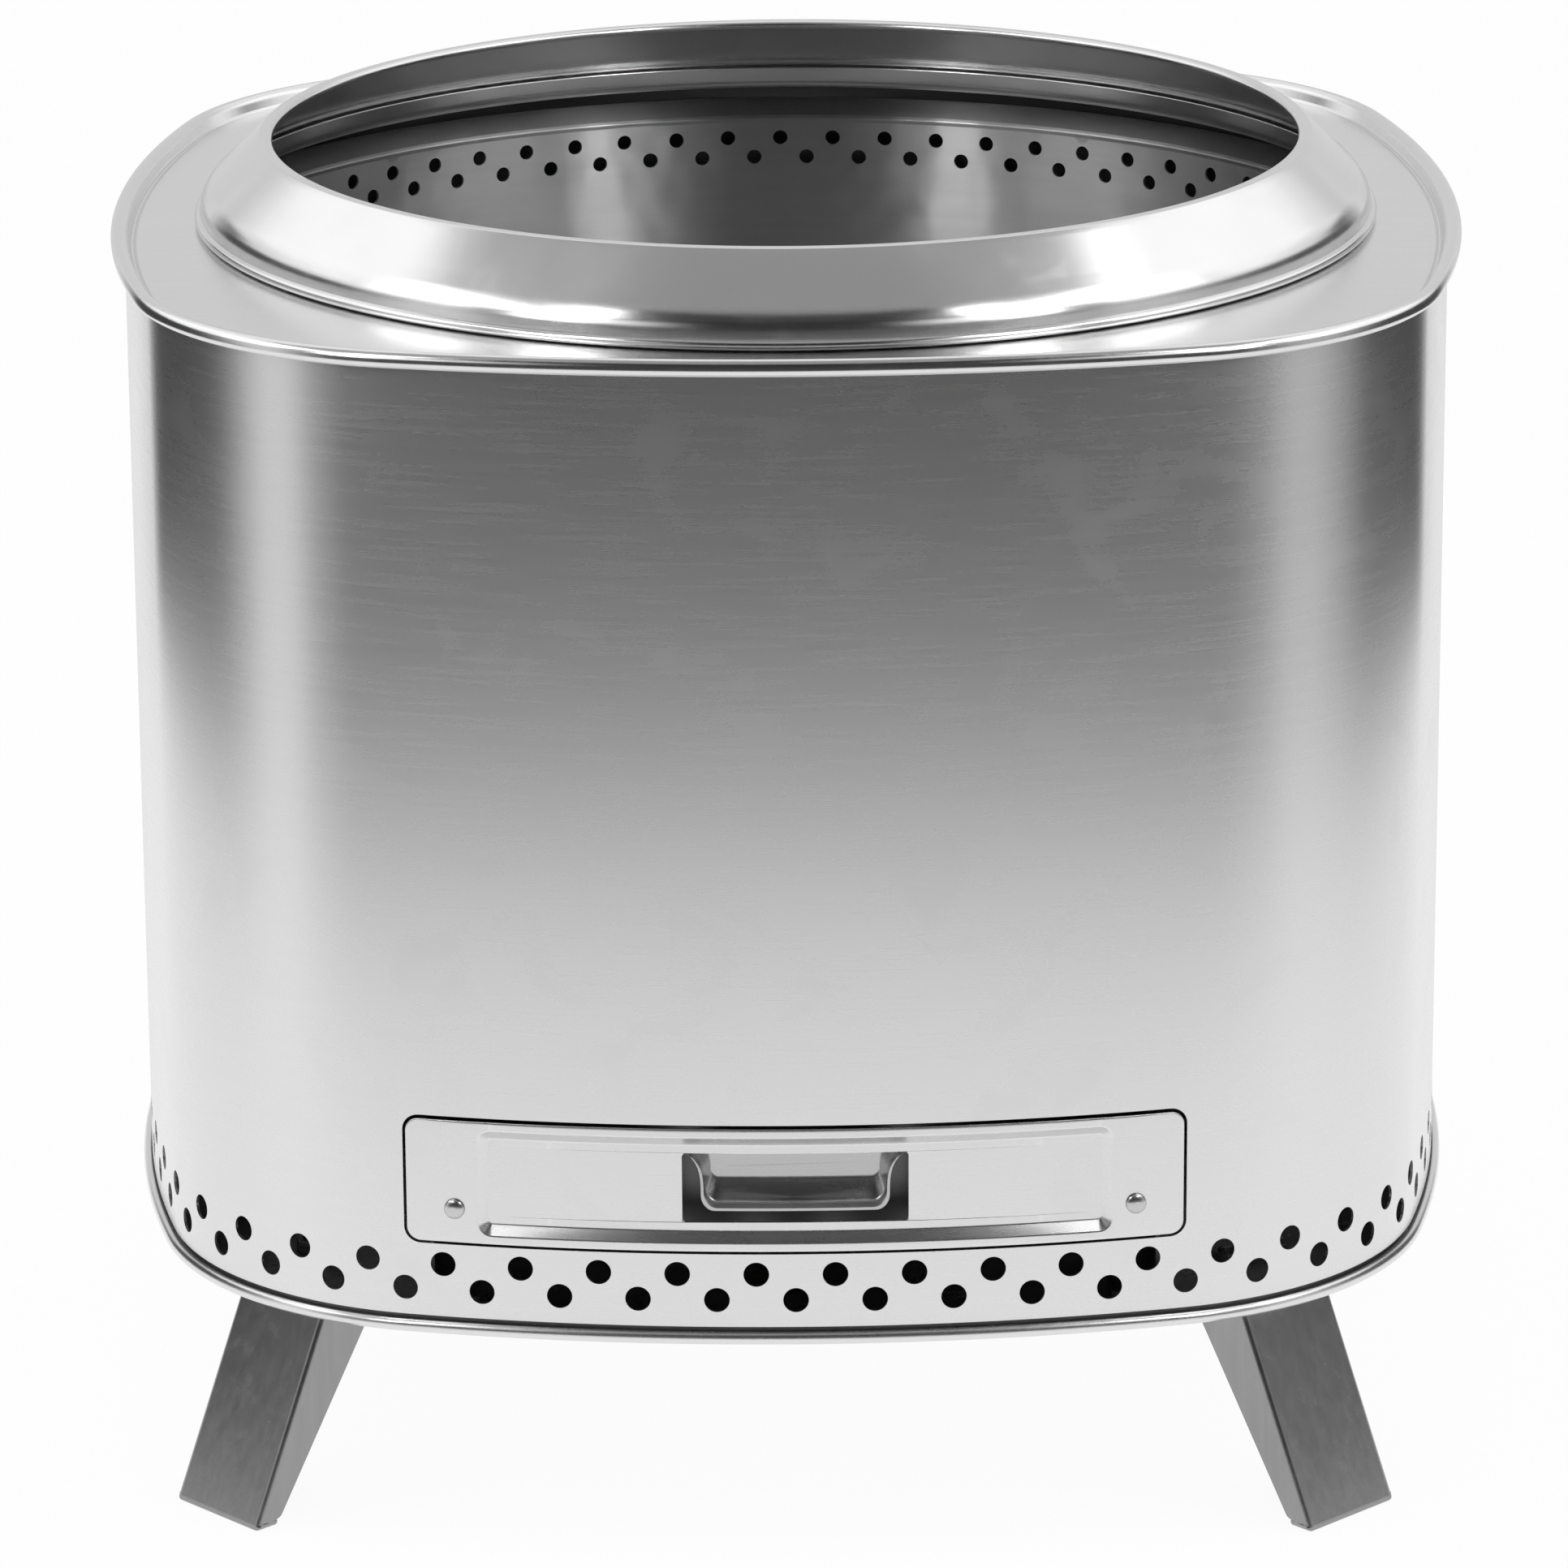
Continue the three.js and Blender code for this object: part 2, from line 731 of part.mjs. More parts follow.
function drawerRivet(side) {
  const earBack = -2 * sheet - 2 * clearance;
  const points = [
    [0, earBack - rivetTailHeight],
    [rivetTailRadius, earBack - rivetTailHeight],
    [rivetTailRadius, earBack],
    [rivetRadius, earBack],
    [rivetRadius, clearance],
    ...rivetDomeShares.map(([out, up]) => [out * rivetHeadRadius, clearance + up * rivetHeadHeight]),
    [0, clearance + rivetHeadHeight],
  ];
  const profile = points.map(([radius, height]) => new THREE.Vector2(radius, height));
  return toRivet(new THREE.LatheGeometry(profile, rivetSides).rotateX(2 * quarterTurn), side);
}

// Finger pull: a bowl open to the front, with a tab behind the window's upper edge
function pullScoop() {
  const low = windowBase + pullGap;
  const high = windowTop;
  const centreZ = (low + high) / 2;
  const halfZ = (high - low) / 2;
  const halfX = windowWidth / 2 - sheet;
  const narrowing = pullSideIn / halfX;
  const bowlRing = (size, depth, grow) => frontRing(
    halfX * size + grow,
    centreZ - halfZ * size - grow,
    centreZ + halfZ * size + grow,
    pullRound * size,
    pullFront - depth,
    narrowing,
  );
  const inside = pullShares.map(([size, depth]) => bowlRing(size, depth * (pullDepth - sheet), 0));
  const outside = pullShares.map(([size, depth]) => bowlRing(size, depth * pullDepth, sheet));
  const bowl = loft([...inside.reverse(), ...outside], false);
  const tabRings = [pullFront, pullFront - sheet].map(
    (offset) => frontRing(halfX - sheet, high, high + pullTab, sheet, offset),
  );
  return join([bowl, loft(tabRings, false)]);
}

// Ash tray with the two ears that the front is riveted to
const pullFront = -fieldDepth - sheet - clearance;
const pullRear = -halfWidth - pullFront + pullDepth;
const trayFront = Math.max(frontY(halfTray, 0) + trayInset, pullRear + pullRoom);
const trayRear = trayFront + trayLength;

function ashTray() {
  const high = trayBase + trayHeight;
  const outside = block(-halfTray, halfTray, trayFront, trayRear, trayBase, high);
  const inside = block(
    -halfTray + sheet, halfTray - sheet,
    trayFront + sheet, trayRear - sheet,
    trayBase + sheet, high + overrun,
  );
  const earBase = trayBase + earLow;
  const earTop = earBase + earHeight;
  const earFront = -sheet - clearance;
  const pieces = [cut(outside, [inside])];
  [-1, 1].forEach((side) => {
    const edge = side * halfTray;
    const tip = side * (halfTray - earWidth);
    const wallInner = side * (halfTray - sheet);
    const plan = [
      [edge, frontY(edge, earFront)],
      [tip, frontY(tip, earFront)],
      [tip, frontY(tip, earFront - sheet)],
      [wallInner, frontY(wallInner, earFront - sheet)],
      [wallInner, trayFront + sheet],
      [edge, trayFront + sheet],
    ];
    const rings = [earBase, earTop].map((z) => plan.map(([x, y]) => new THREE.Vector3(x, y, z)));
    pieces.push(cut(loft(rings, false), [rivetHole(side)]));
  });
  return join(pieces);
}

// Folded rail beside and under the tray
function runner(side) {
  const ledgeTop = trayBase - clearance;
  const ledgeUnder = ledgeTop - railSheet;
  const web = halfTray + 2 * clearance;
  const outer = web + railSheet;
  const floor = panFloorTop + clearance;
  const points = [
    [web - railLedge, ledgeUnder],
    [web, ledgeUnder],
    [web, floor + railSheet],
    [web - railFlange, floor + railSheet],
    [web - railFlange, floor],
    [outer, floor],
    [outer, ledgeTop + railGuide],
    [web, ledgeTop + railGuide],
    [web, ledgeTop],
    [web - railLedge, ledgeTop],
  ].map(([x, z]) => [side * x, z]);
  return alongY(points, trayFront + railInset, trayRear + railPast);
}

// Leg, modelled towards -Y
const legTop = panFloorUnder - clearance;
const legSlope = Math.tan(THREE.MathUtils.degToRad(legSplay));
const sheetAcross = legSheet / Math.cos(THREE.MathUtils.degToRad(legSplay));

function legReach(z) {
  return cornerReach - legInset + (legHeight - z) * legSlope;
}

function leg() {
  const tabUnder = legTop - legSheet;
  const tabEnd = legReach(legTop) - tabDepth;
  const footFront = legReach(footBend) - footBend;
  const face = acrossX([
    [-legReach(footBend), footBend],
    [-legReach(legTop), legTop],
    [-tabEnd, legTop],
    [-tabEnd, tabUnder],
    [-legReach(tabUnder) + sheetAcross, tabUnder],
    [-legReach(legSheet) + sheetAcross, legSheet],
    [-footFront + footDepth, legSheet],
    [-footFront + footDepth, 0],
    [-footFront, 0],
  ], legWidth);
  const sideTop = legTop - legSheet / 2;
  const sidePoints = [
    [-legReach(footBend), footBend],
    [-legReach(sideTop), sideTop],
    [-legReach(sideTop) + sideWidthTop, sideTop],
    [-legReach(sideRoundHeight) + sideWidthFoot, sideRoundHeight],
    [-footFront + footBend + legSheet, legSheet / 2],
    [-footFront + footBend, 0],
    [-footFront, 0],
  ];
  const sideCentreX = (legWidth - legSheet) / 2;
  const sides = [-1, 1].map((side) => acrossX(sidePoints, legSheet, side * sideCentreX));
  const holes = bothSides.map((side) => boltHole().translate(side * boltSpacing / 2, 0, 0));
  return cut(join([face, ...sides]), holes);
}

// Bolt and nut about Z, standing on the leg's tab
function legBolt() {
  const seat = legTop - legSheet - clearance;
  const end = panFloorTop + clearance + nutHeight + boltPast;
  return turned([
    [0, seat - headHeight],
    [headRadius, seat - headHeight],
    [headRadius, seat],
    [boltRadius, seat],
    [boltRadius, end],
    [0, end],
  ], boltSides);
}

function legNut() {
  const low = panFloorTop + clearance;
  const high = low + nutHeight;
  const bore = boltRadius + clearance / Math.cos(Math.PI / boltSides);
  return turnedRing([[headRadius, low], [headRadius, high], [bore, high], [bore, low]], boltSides);
}

place('base_pan', basePan(), plainSteel);
place('outer_shell', outerShell(), brushedSteel);
place('top_deck', topDeck(), brushedSteel);
place('inner_drum', innerDrum(), chamberSteel);
place('drum_floor', drumFloor(), chamberSteel);
place('fire_grate', fireGrate(), plainSteel);
place('flame_ring', flameRing(), ringSteel);
place('runner_left', runner(-1), plainSteel);
place('runner_right', runner(1), plainSteel);
place('ash_tray', ashTray(), plainSteel);
place('drawer_front', drawerFront(), brushedSteel);
place('pull_scoop', pullScoop(), brushedSteel);
place('drawer_rivet_left', drawerRivet(-1), boltSteel);
place('drawer_rivet_right', drawerRivet(1), boltSteel);

const cornerNames = ['front_right', 'rear_right', 'rear_left', 'front_left'];
cornerAngles.forEach((angle, i) => {
  const corner = new THREE.Group();
  corner.rotation.z = angle;
  barrel.add(corner);
  place(`drum_bracket_${cornerNames[i]}`, drumBracket(), plainSteel, corner);
});
legAngles.forEach((angle, i) => {
  const stand = new THREE.Group();
  stand.rotation.z = angle;
  barrel.add(stand);
  place(`leg_${cornerNames[i]}`, leg(), legSteel, stand);
  bothSides.forEach((side) => {
    const label = `${cornerNames[i]}_${side < 0 ? 'a' : 'b'}`;
    const spot = new THREE.Group();
    spot.position.set(side * boltSpacing / 2, -boltReach, 0);
    stand.add(spot);
    place(`leg_bolt_${label}`, legBolt(), boltSteel, spot);
    place(`leg_nut_${label}`, legNut(), boltSteel, spot);
  });
});

export default barrel;
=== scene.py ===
import math

import bpy
from mathutils import Matrix, Vector
from mathutils.geometry import delaunay_2d_cdt


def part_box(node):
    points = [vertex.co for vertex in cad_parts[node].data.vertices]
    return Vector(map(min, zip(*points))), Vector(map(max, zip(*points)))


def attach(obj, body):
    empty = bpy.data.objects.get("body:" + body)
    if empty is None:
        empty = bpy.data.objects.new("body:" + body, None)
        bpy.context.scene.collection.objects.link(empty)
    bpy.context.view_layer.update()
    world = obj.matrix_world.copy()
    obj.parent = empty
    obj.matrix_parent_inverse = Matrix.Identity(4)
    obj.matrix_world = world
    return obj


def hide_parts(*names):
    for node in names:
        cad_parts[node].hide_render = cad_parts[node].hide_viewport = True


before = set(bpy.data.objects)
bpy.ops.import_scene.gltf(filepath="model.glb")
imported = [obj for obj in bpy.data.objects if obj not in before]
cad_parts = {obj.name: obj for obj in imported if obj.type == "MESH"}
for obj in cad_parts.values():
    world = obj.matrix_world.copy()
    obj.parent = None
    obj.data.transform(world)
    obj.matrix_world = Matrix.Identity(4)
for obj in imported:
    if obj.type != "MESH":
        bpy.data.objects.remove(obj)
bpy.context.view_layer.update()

mm = 0.001
quarterTurn = math.pi / 2
fullTurn = 2 * math.pi
corners = {"front_right": 1, "rear_right": 3, "rear_left": 5, "front_left": 7}  # in eighths of a turn


def nodeBox(node):
    low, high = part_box(node)
    return low / mm, high / mm


wallLow, wallHigh = nodeBox("outer_shell")
deckLow = nodeBox("top_deck")[0]
panBase = nodeBox("base_pan")[0].z
ringReach = nodeBox("flame_ring")[1].x
drumLow, drumHigh = nodeBox("inner_drum")
floorLow, floorHigh = nodeBox("drum_floor")
grateLow, grateHigh = nodeBox("fire_grate")
frontLow, frontHigh = nodeBox("drawer_front")
halfWidth = wallHigh.x
rimBelowSeam = 2
seam = deckLow.z + rimBelowSeam  # the wall's upper edge line
sheet = 1  # all pressed sheet


def newObject(name, data):
    made = bpy.data.objects.new(name, data)
    bpy.context.scene.collection.objects.link(made)
    return made


# The camera stands where the photograph was taken from.

photo = {
    "pixels": 1932,  # width and height of the photograph
    "focalPixels": 9906.2,
    "distance": 2987.69,  # from the axis of the barrel, along the ground
    "height": 1144.56,
    "sideways": -1.995,
    "pitch": 0.30016,  # radians down
    "roll": -0.006404,
    "yaw": 0.004807,
    "sensor": 36,
    "clip": (0.1, 100),
}


def makeCamera():
    data = bpy.data.cameras.new("camera")
    data.sensor_width = photo["sensor"]
    data.lens = photo["focalPixels"] / photo["pixels"] * data.sensor_width
    data.clip_start, data.clip_end = photo["clip"]
    cosPitch, sinPitch = math.cos(photo["pitch"]), math.sin(photo["pitch"])
    cosRoll, sinRoll = math.cos(photo["roll"]), math.sin(photo["roll"])
    turn = Matrix.Rotation(-photo["yaw"], 3, "Z")
    right = Vector((1, 0, 0))
    forward = Vector((0, cosPitch, -sinPitch))
    up = Vector((0, sinPitch, cosPitch))
    camX = turn @ (right * cosRoll + up * sinRoll)
    camY = turn @ (up * cosRoll - right * sinRoll)
    camZ = turn @ -forward
    place = turn @ Vector((photo["sideways"], -photo["distance"], photo["height"])) * mm
    axes = Matrix((camX, camY, camZ)).transposed().to_4x4()
    camera = newObject("camera", data)
    camera.matrix_world = Matrix.Translation(place) @ axes
    bpy.context.scene.camera = camera


makeCamera()
print("camera done")

# Sections and meshes. All sizes are in millimetres until a mesh is made.


bendShare = 0.49  # of a stretch, at most, that a bend takes at one end


def rounded(points, steps=6):
    # points are (across, up) or (across, up, bend radius), and a bend runs as a curve of three points
    line = []
    for i, point in enumerate(points):
        here = Vector(point[:2])
        if i in (0, len(points) - 1) or len(point) == 2:
            line.append(here)
            continue
        before = Vector(points[i - 1][:2]) - here
        after = Vector(points[i + 1][:2]) - here
        turn = math.pi - before.angle(after)
        reach = min(point[2] * math.tan(turn / 2), bendShare * before.length, bendShare * after.length)
        start, end = here + before.normalized() * reach, here + after.normalized() * reach
        for k in range(steps + 1):
            t = k / steps
            line.append(start * (1 - t) ** 2 + here * 2 * t * (1 - t) + end * t * t)
    return line


def thickened(line, thickness):
    # the line, and back again at the sheet's thickness on its left-hand side
    back = []
    for i, here in enumerate(line):
        ways = []
        if i > 0:
            ways.append((here - line[i - 1]).normalized())
        if i < len(line) - 1:
            ways.append((line[i + 1] - here).normalized())
        way = sum(ways, Vector((0, 0))).normalized()
        side = Vector((-way.y, way.x))
        stretch = max(0.5, side.dot(Vector((-ways[0].y, ways[0].x))))
        back.append(here + side * thickness / stretch)
    return list(line) + back[::-1]


def arc(centre, radius, fromDegrees, toDegrees, steps):
    turns = [math.radians(fromDegrees + (toDegrees - fromDegrees) * i / steps) for i in range(steps + 1)]
    return [Vector((centre[0] + radius * math.cos(t), centre[1] + radius * math.sin(t))) for t in turns]


def loft(rings, closedSection=True):
    count = len(rings[0])
    verts = [point for ring in rings for point in ring]
    faces = []
    for r in range(len(rings) if closedSection else len(rings) - 1):
        low, high = r * count, (r + 1) % len(rings) * count
        for i in range(count):
            j = (i + 1) % count
            faces.append((low + i, low + j, high + j, high + i))
    if not closedSection:
        faces.append(tuple(range(count))[::-1])
        faces.append(tuple((len(rings) - 1) * count + i for i in range(count)))
    return verts, faces


def turned(section, steps):
    rings = []
    for radius, height in section:
        turns = [fullTurn * i / steps for i in range(steps)]
        rings.append([Vector((radius * math.sin(t), -radius * math.cos(t), height)) for t in turns])
    return rings


def smoothMesh(name, verts, faces, *finish):
    mesh = bpy.data.meshes.new(name)
    mesh.from_pydata([v * mm for v in verts], [], faces)
    mesh.update()
    mesh.polygons.foreach_set("use_smooth", [True] * len(mesh.polygons))
    for material in finish:
        mesh.materials.append(steel[material])
    return mesh


def addPiece(name, verts, faces, body, slot, finish, stands=(), sharp=35):
    mesh = smoothMesh(name, verts, faces, finish)
    if sum(face.center.dot(face.normal) * face.area for face in mesh.polygons) < 0:
        mesh.flip_normals()
    mesh.set_sharp_from_angle(angle=math.radians(sharp))
    piece = newObject(name, mesh)
    modifier = piece.modifiers.new("even shading", "WEIGHTED_NORMAL")
    modifier.keep_sharp = True
    return fitPiece(piece, body, slot, stands)


def fitPiece(piece, body, slot, stands):
    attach(piece, body)
    if stands:
        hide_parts(*stands)
    return piece


def paintShade(piece, hidden):
    # painted shade: the faces behind the front, where little light comes, get the dark steel
    piece.data.materials.append(steel["insideSteel"])
    for i in hidden:
        piece.data.polygons[i].material_index = 1


# The body's outline, seen from above: four bowed sides joined by round corners

outline = {
    "sideRadius": 607,
    "cornerRadius": 124,
    "sideSteps": 36,
    "cornerSteps": 21,
}
sideCentre = outline["sideRadius"] - halfWidth
radiusStep = outline["sideRadius"] - outline["cornerRadius"]
cornerCentre = (math.sqrt(2 * radiusStep**2 - sideCentre**2) - sideCentre) / 2
sideAngle = math.atan2(cornerCentre, cornerCentre + sideCentre)
sideLength = outline["sideRadius"] * sideAngle
cornerLength = outline["cornerRadius"] * (quarterTurn - 2 * sideAngle)
quarterLength = 2 * sideLength + cornerLength
cornerReach = cornerCentre * math.sqrt(2) + outline["cornerRadius"]


def outlinePoint(angle, offset):
    quarter = round(angle / quarterTurn)
    local = angle - quarter * quarterTurn
    if abs(local) > sideAngle:
        radius = outline["cornerRadius"] + offset
        centre = Vector((math.copysign(cornerCentre, local), -cornerCentre))
    else:
        radius = outline["sideRadius"] + offset
        centre = Vector((0, sideCentre))
    point = centre + radius * Vector((math.sin(local), -math.cos(local)))
    point.rotate(Matrix.Rotation(quarter * quarterTurn, 2))
    return point


def angleAlong(distance):
    quarter = math.floor(distance / quarterLength)
    rest = distance - quarter * quarterLength
    if rest <= sideLength:
        local = rest / outline["sideRadius"]
    elif rest <= sideLength + cornerLength:
        local = sideAngle + (rest - sideLength) / outline["cornerRadius"]
    else:
        local = quarterTurn - (quarterLength - rest) / outline["sideRadius"]
    return quarter * quarterTurn + local


def lengthAt(x):
    # along the front wall from its middle
    reach = abs(x)
    if reach <= outline["sideRadius"] * math.sin(sideAngle):
        length = outline["sideRadius"] * math.asin(reach / outline["sideRadius"])
    else:
        local = math.asin((reach - cornerCentre) / outline["cornerRadius"])
        length = sideLength + outline["cornerRadius"] * (local - sideAngle)
    return math.copysign(length, x)


def frontY(x, offset):
    reach = abs(x)
    sideRadius = outline["sideRadius"] + offset
    if reach <= sideRadius * math.sin(sideAngle):
        return sideCentre - math.sqrt(sideRadius**2 - reach**2)
    cornerRadius = outline["cornerRadius"] + offset
    return -cornerCentre - math.sqrt(cornerRadius**2 - (reach - cornerCentre) ** 2)


outlineLengths = []
for quarter in range(4):
    start = quarter * quarterLength - sideLength
    for i in range(outline["sideSteps"]):
        outlineLengths.append(start + 2 * sideLength * i / outline["sideSteps"])
    for i in range(outline["cornerSteps"]):
        outlineLengths.append(start + 2 * sideLength + cornerLength * i / outline["cornerSteps"])
outlineAngles = [angleAlong(length) for length in outlineLengths]


def outlineRing(offset, height):
    return [outlinePoint(angle, offset).to_3d() + Vector((0, 0, height)) for angle in outlineAngles]


def circleRing(radius, height):
    return [Vector((radius * math.sin(a), -radius * math.cos(a), height)) for a in outlineAngles]


# Sheet that is cut flat and then bent to shape

meeting = 1e-5  # points this near to each other are one
holeMargin = 1.2  # no inner point is nearer to a hole


def insideLoop(point, loop):
    inside = False
    for i, a in enumerate(loop):
        b = loop[i - 1]
        if (a[1] > point[1]) != (b[1] > point[1]):
            crossing = (b[0] - a[0]) * (point[1] - a[1]) / (b[1] - a[1]) + a[0]
            if point[0] < crossing:
                inside = not inside
    return inside


def roundHole(x, y, radius, sides=24):
    turns = [fullTurn * i / sides for i in range(sides)]
    return [(x + radius * math.cos(t), y + radius * math.sin(t)) for t in turns]


def holeTest(holes):
    # says whether a point of the flat sheet lies in a hole, or nearer to one than the margin
    reaches = []
    for hole in holes:
        centre = sum((Vector(p) for p in hole), Vector((0, 0))) / len(hole)
        reaches.append((centre, max((Vector(p) - centre).length for p in hole), hole))

    def isOpen(point, margin=0):
        for centre, reach, hole in reaches:
            if abs(point[0] - centre.x) > reach + margin or abs(point[1] - centre.y) > reach + margin:
                continue
            if insideLoop(point, hole):
                return True
            if margin and min((Vector(p) - Vector(point)).length for p in hole) < margin:
                return True
        return False

    return isOpen


def cutFlat(border, holes, inner=()):
    # points of the flat sheet, and the triangles between its border and its holes
    points, edges = [], []
    for loop in [border, *holes]:
        first = len(points)
        points += [Vector(p) for p in loop]
        edges += [(first + i, first + (i + 1) % len(loop)) for i in range(len(loop))]
    flat, _, triangles, _, _, _ = delaunay_2d_cdt([*points, *inner], edges, [], 0, meeting)
    isOpen = holeTest(holes)
    kept = [t for t in triangles if not isOpen(sum((flat[i] for i in t), Vector((0, 0))) / 3)]
    return flat, kept


def twoSided(triangles, count):
    # each point has its twin behind it, count places on, and the edges that only one triangle has are closed
    faces, lone = [], {}
    for a, b, c in triangles:
        faces += [(a, b, c), (a + count, c + count, b + count)]
        for edge in ((a, b), (b, c), (c, a)):
            if not lone.pop(edge[::-1], False):
                lone[edge] = True
    return faces + [(b, a, a + count, b + count) for a, b in lone]


def bentSheet(columns, rows, holes, bend):
    # columns and rows are the lines of the flat sheet that the bending follows, and its two ends are joined.
    # bend(x, y, depth) gives a point of the bent sheet and the way it faces there.
    left, right, low, high = columns[0], columns[-1], rows[0], rows[-1]
    border = [(x, low) for x in columns] + [(right, y) for y in rows[1:]]
    border += [(x, high) for x in columns[-2::-1]] + [(left, y) for y in rows[-2:0:-1]]
    isOpen = holeTest(holes)
    inner = []
    for x in columns[1:-1]:
        inner += [Vector((x, y)) for y in rows[1:-1] if not isOpen((x, y), holeMargin)]
    flat, kept = cutFlat(border, holes, inner)
    same = list(range(len(flat)))
    starts = {round(p.y, 3): i for i, p in enumerate(flat) if abs(p.x - left) < 10 * meeting}
    for i, p in enumerate(flat):
        if abs(p.x - right) < 10 * meeting:
            same[i] = starts[round(p.y, 3)]
    kept = [tuple(same[i] for i in t) for t in kept]
    used = sorted({i for t in kept for i in t})
    place = {i: n for n, i in enumerate(used)}
    count = len(used)
    face = [bend(flat[i].x, flat[i].y, 0) for i in used]
    back = [bend(flat[i].x, flat[i].y, sheet) for i in used]
    verts = [point for point, _ in face + back]
    ways = [way for _, way in face]
    normals, triangles = [], []
    for t in kept:
        a, b, c = (place[i] for i in t)
        if (verts[b] - verts[a]).cross(verts[c] - verts[a]).dot(ways[a]) < 0:
            b, c = c, b
        triangles.append((a, b, c))
        normals += [ways[a], ways[b], ways[c], -ways[a], -ways[c], -ways[b]]
    faces = twoSided(triangles, count)
    for b, a, behind, _ in faces[2 * len(triangles):]:
        normals += [(verts[a] - verts[b]).cross(verts[behind] - verts[b]).normalized()] * 4
    return verts, faces, normals


def addSheet(name, verts, faces, normals, body, slot, finish, stands):
    mesh = smoothMesh(name, verts, faces, finish, "insideSteel")
    mesh.normals_split_custom_set(normals)
    # bentSheet makes a front face and a rear face in turn, then the edges of the sheet
    # painted shade: the rear faces, which look into the closed space between wall and drum, get the dark
    # steel
    sides = [int(len(face) == 3 and i % 2) for i, face in enumerate(faces)]
    mesh.polygons.foreach_set("material_index", sides)
    fitPiece(newObject(name, mesh), body, slot, stands)


# Materials


def feed(tree, socket, value):
    # value is a constant, or the output that feeds the socket
    if isinstance(value, bpy.types.NodeSocket):
        tree.links.new(value, socket)
    else:
        socket.default_value = value


def addNode(tree, kind, **settings):
    # each setting is the node's own, or else goes to the input of that name
    node = tree.nodes.new(kind)
    for name, value in settings.items():
        if hasattr(node, name):
            setattr(node, name, value)
        else:
            feed(tree, node.inputs[name.replace("_", " ")], value)
    return node


def mathNode(tree, operation, *values):
    node = addNode(tree, "ShaderNodeMath", operation=operation)
    for socket, value in zip(node.inputs, values):
        feed(tree, socket, value)
    return node.outputs[0]


def vectorNode(tree, operation, *values, **scale):
    node = addNode(tree, "ShaderNodeVectorMath", operation=operation, **scale)
    for socket, value in zip(node.inputs, values):
        feed(tree, socket, value)
    return node.outputs["Value" if operation in ("LENGTH", "DOT_PRODUCT") else "Vector"]


def newMaterial(name):
    material = bpy.data.materials.new(name)
    material.use_nodes = True
    return material, material.node_tree


def newGroup(name, outputs, **inputs):
    group = bpy.data.node_groups.new(name, "ShaderNodeTree")
    for label, value in inputs.items():
        kind = "NodeSocketVector" if isinstance(value, tuple) else "NodeSocketFloat"
        group.interface.new_socket(label, in_out="INPUT", socket_type=kind).default_value = value
    for label in outputs:
        group.interface.new_socket(label, in_out="OUTPUT", socket_type="NodeSocketFloat")
    return group, addNode(group, "NodeGroupInput").outputs, addNode(group, "NodeGroupOutput").inputs


shading = {
    "fine": {"Scale": 1, "Detail": 2, "Roughness": 0.6},
    "streaks": {"Scale": 1, "Detail": 2, "Roughness": 0.5},
    "straightStreaks": 0.22,  # the streaks' fineness as a share of the scratches'
    "roundStreaks": 0.25,
    "cloud": {"Detail": 3, "Roughness": 0.5},
    "smudge": {"Detail": 4, "Roughness": 0.55, "Distortion": 0.6},
    "smudgeCloser": 4,
    "smudgeLimits": {"From_Min": 0.52, "From_Max": 0.72},
    "streakShare": 0.6,
    "cloudShare": 0.4,
    "roughSmudge": 0.5,
    "brushingTurn": 0.25,
    "bumpDistance": 0.0002,
    "waveStrength": 0.5,
}


def grainOutputs(group, made, place, streakScale):
    # fine scratches, and wider streaks along them
    grain = addNode(group, "ShaderNodeTexNoise", Vector=place, **shading["fine"])
    wider = vectorNode(group, "SCALE", place, Scale=streakScale)
    streaks = addNode(group, "ShaderNodeTexNoise", Vector=wider, **shading["streaks"])
    feed(group, made["Grain"], grain.outputs["Fac"])
    feed(group, made["Streaks"], streaks.outputs["Fac"])
    return group


def straightGrainGroup():
    # fine parallel scratches of a brushed sheet
    group, given, made = newGroup("straight grain", ["Grain", "Streaks"], Stretch=(30, 30, 2400))
    where = addNode(group, "ShaderNodeTexCoord").outputs["Object"]
    place = vectorNode(group, "MULTIPLY", where, given["Stretch"])
    return grainOutputs(group, made, place, shading["straightStreaks"])


def roundGrainGroup():
    # the same scratches, running round the barrel's axis
    group, given, made = newGroup("round grain", ["Grain", "Streaks"], Fineness=2200, Length=5)
    where = addNode(group, "ShaderNodeTexCoord").outputs["Object"]
    flat = vectorNode(group, "MULTIPLY", where, (1, 1, 0))
    height = vectorNode(group, "DOT_PRODUCT", where, (0, 0, 1))
    reach = mathNode(group, "ADD", vectorNode(group, "LENGTH", flat), height)
    across = mathNode(group, "MULTIPLY", reach, given["Fineness"])
    lift = vectorNode(group, "SCALE", (0, 0, 1), Scale=across)
    # a place on the circle, so that the pattern has no seam
    facing = vectorNode(group, "NORMALIZE", flat)
    along = vectorNode(group, "SCALE", facing, Scale=given["Length"])
    return grainOutputs(group, made, vectorNode(group, "ADD", along, lift), shading["roundStreaks"])


def handlingGroup():
    # slow changes of the finish, and small smudges from handling
    group, given, made = newGroup("handling", ["Cloud", "Smudge"], Size=14)
    where = addNode(group, "ShaderNodeTexCoord").outputs["Object"]
    size = given["Size"]
    cloud = addNode(group, "ShaderNodeTexNoise", Vector=where, Scale=size, **shading["cloud"])
    closer = mathNode(group, "MULTIPLY", size, shading["smudgeCloser"])
    smudge = addNode(group, "ShaderNodeTexNoise", Vector=where, Scale=closer, **shading["smudge"])
    limits = addNode(
        group, "ShaderNodeMapRange", interpolation_type="SMOOTHSTEP",
        Value=smudge.outputs["Fac"], **shading["smudgeLimits"],
    )
    feed(group, made["Cloud"], cloud.outputs["Fac"])
    feed(group, made["Smudge"], limits.outputs["Result"])
    return group


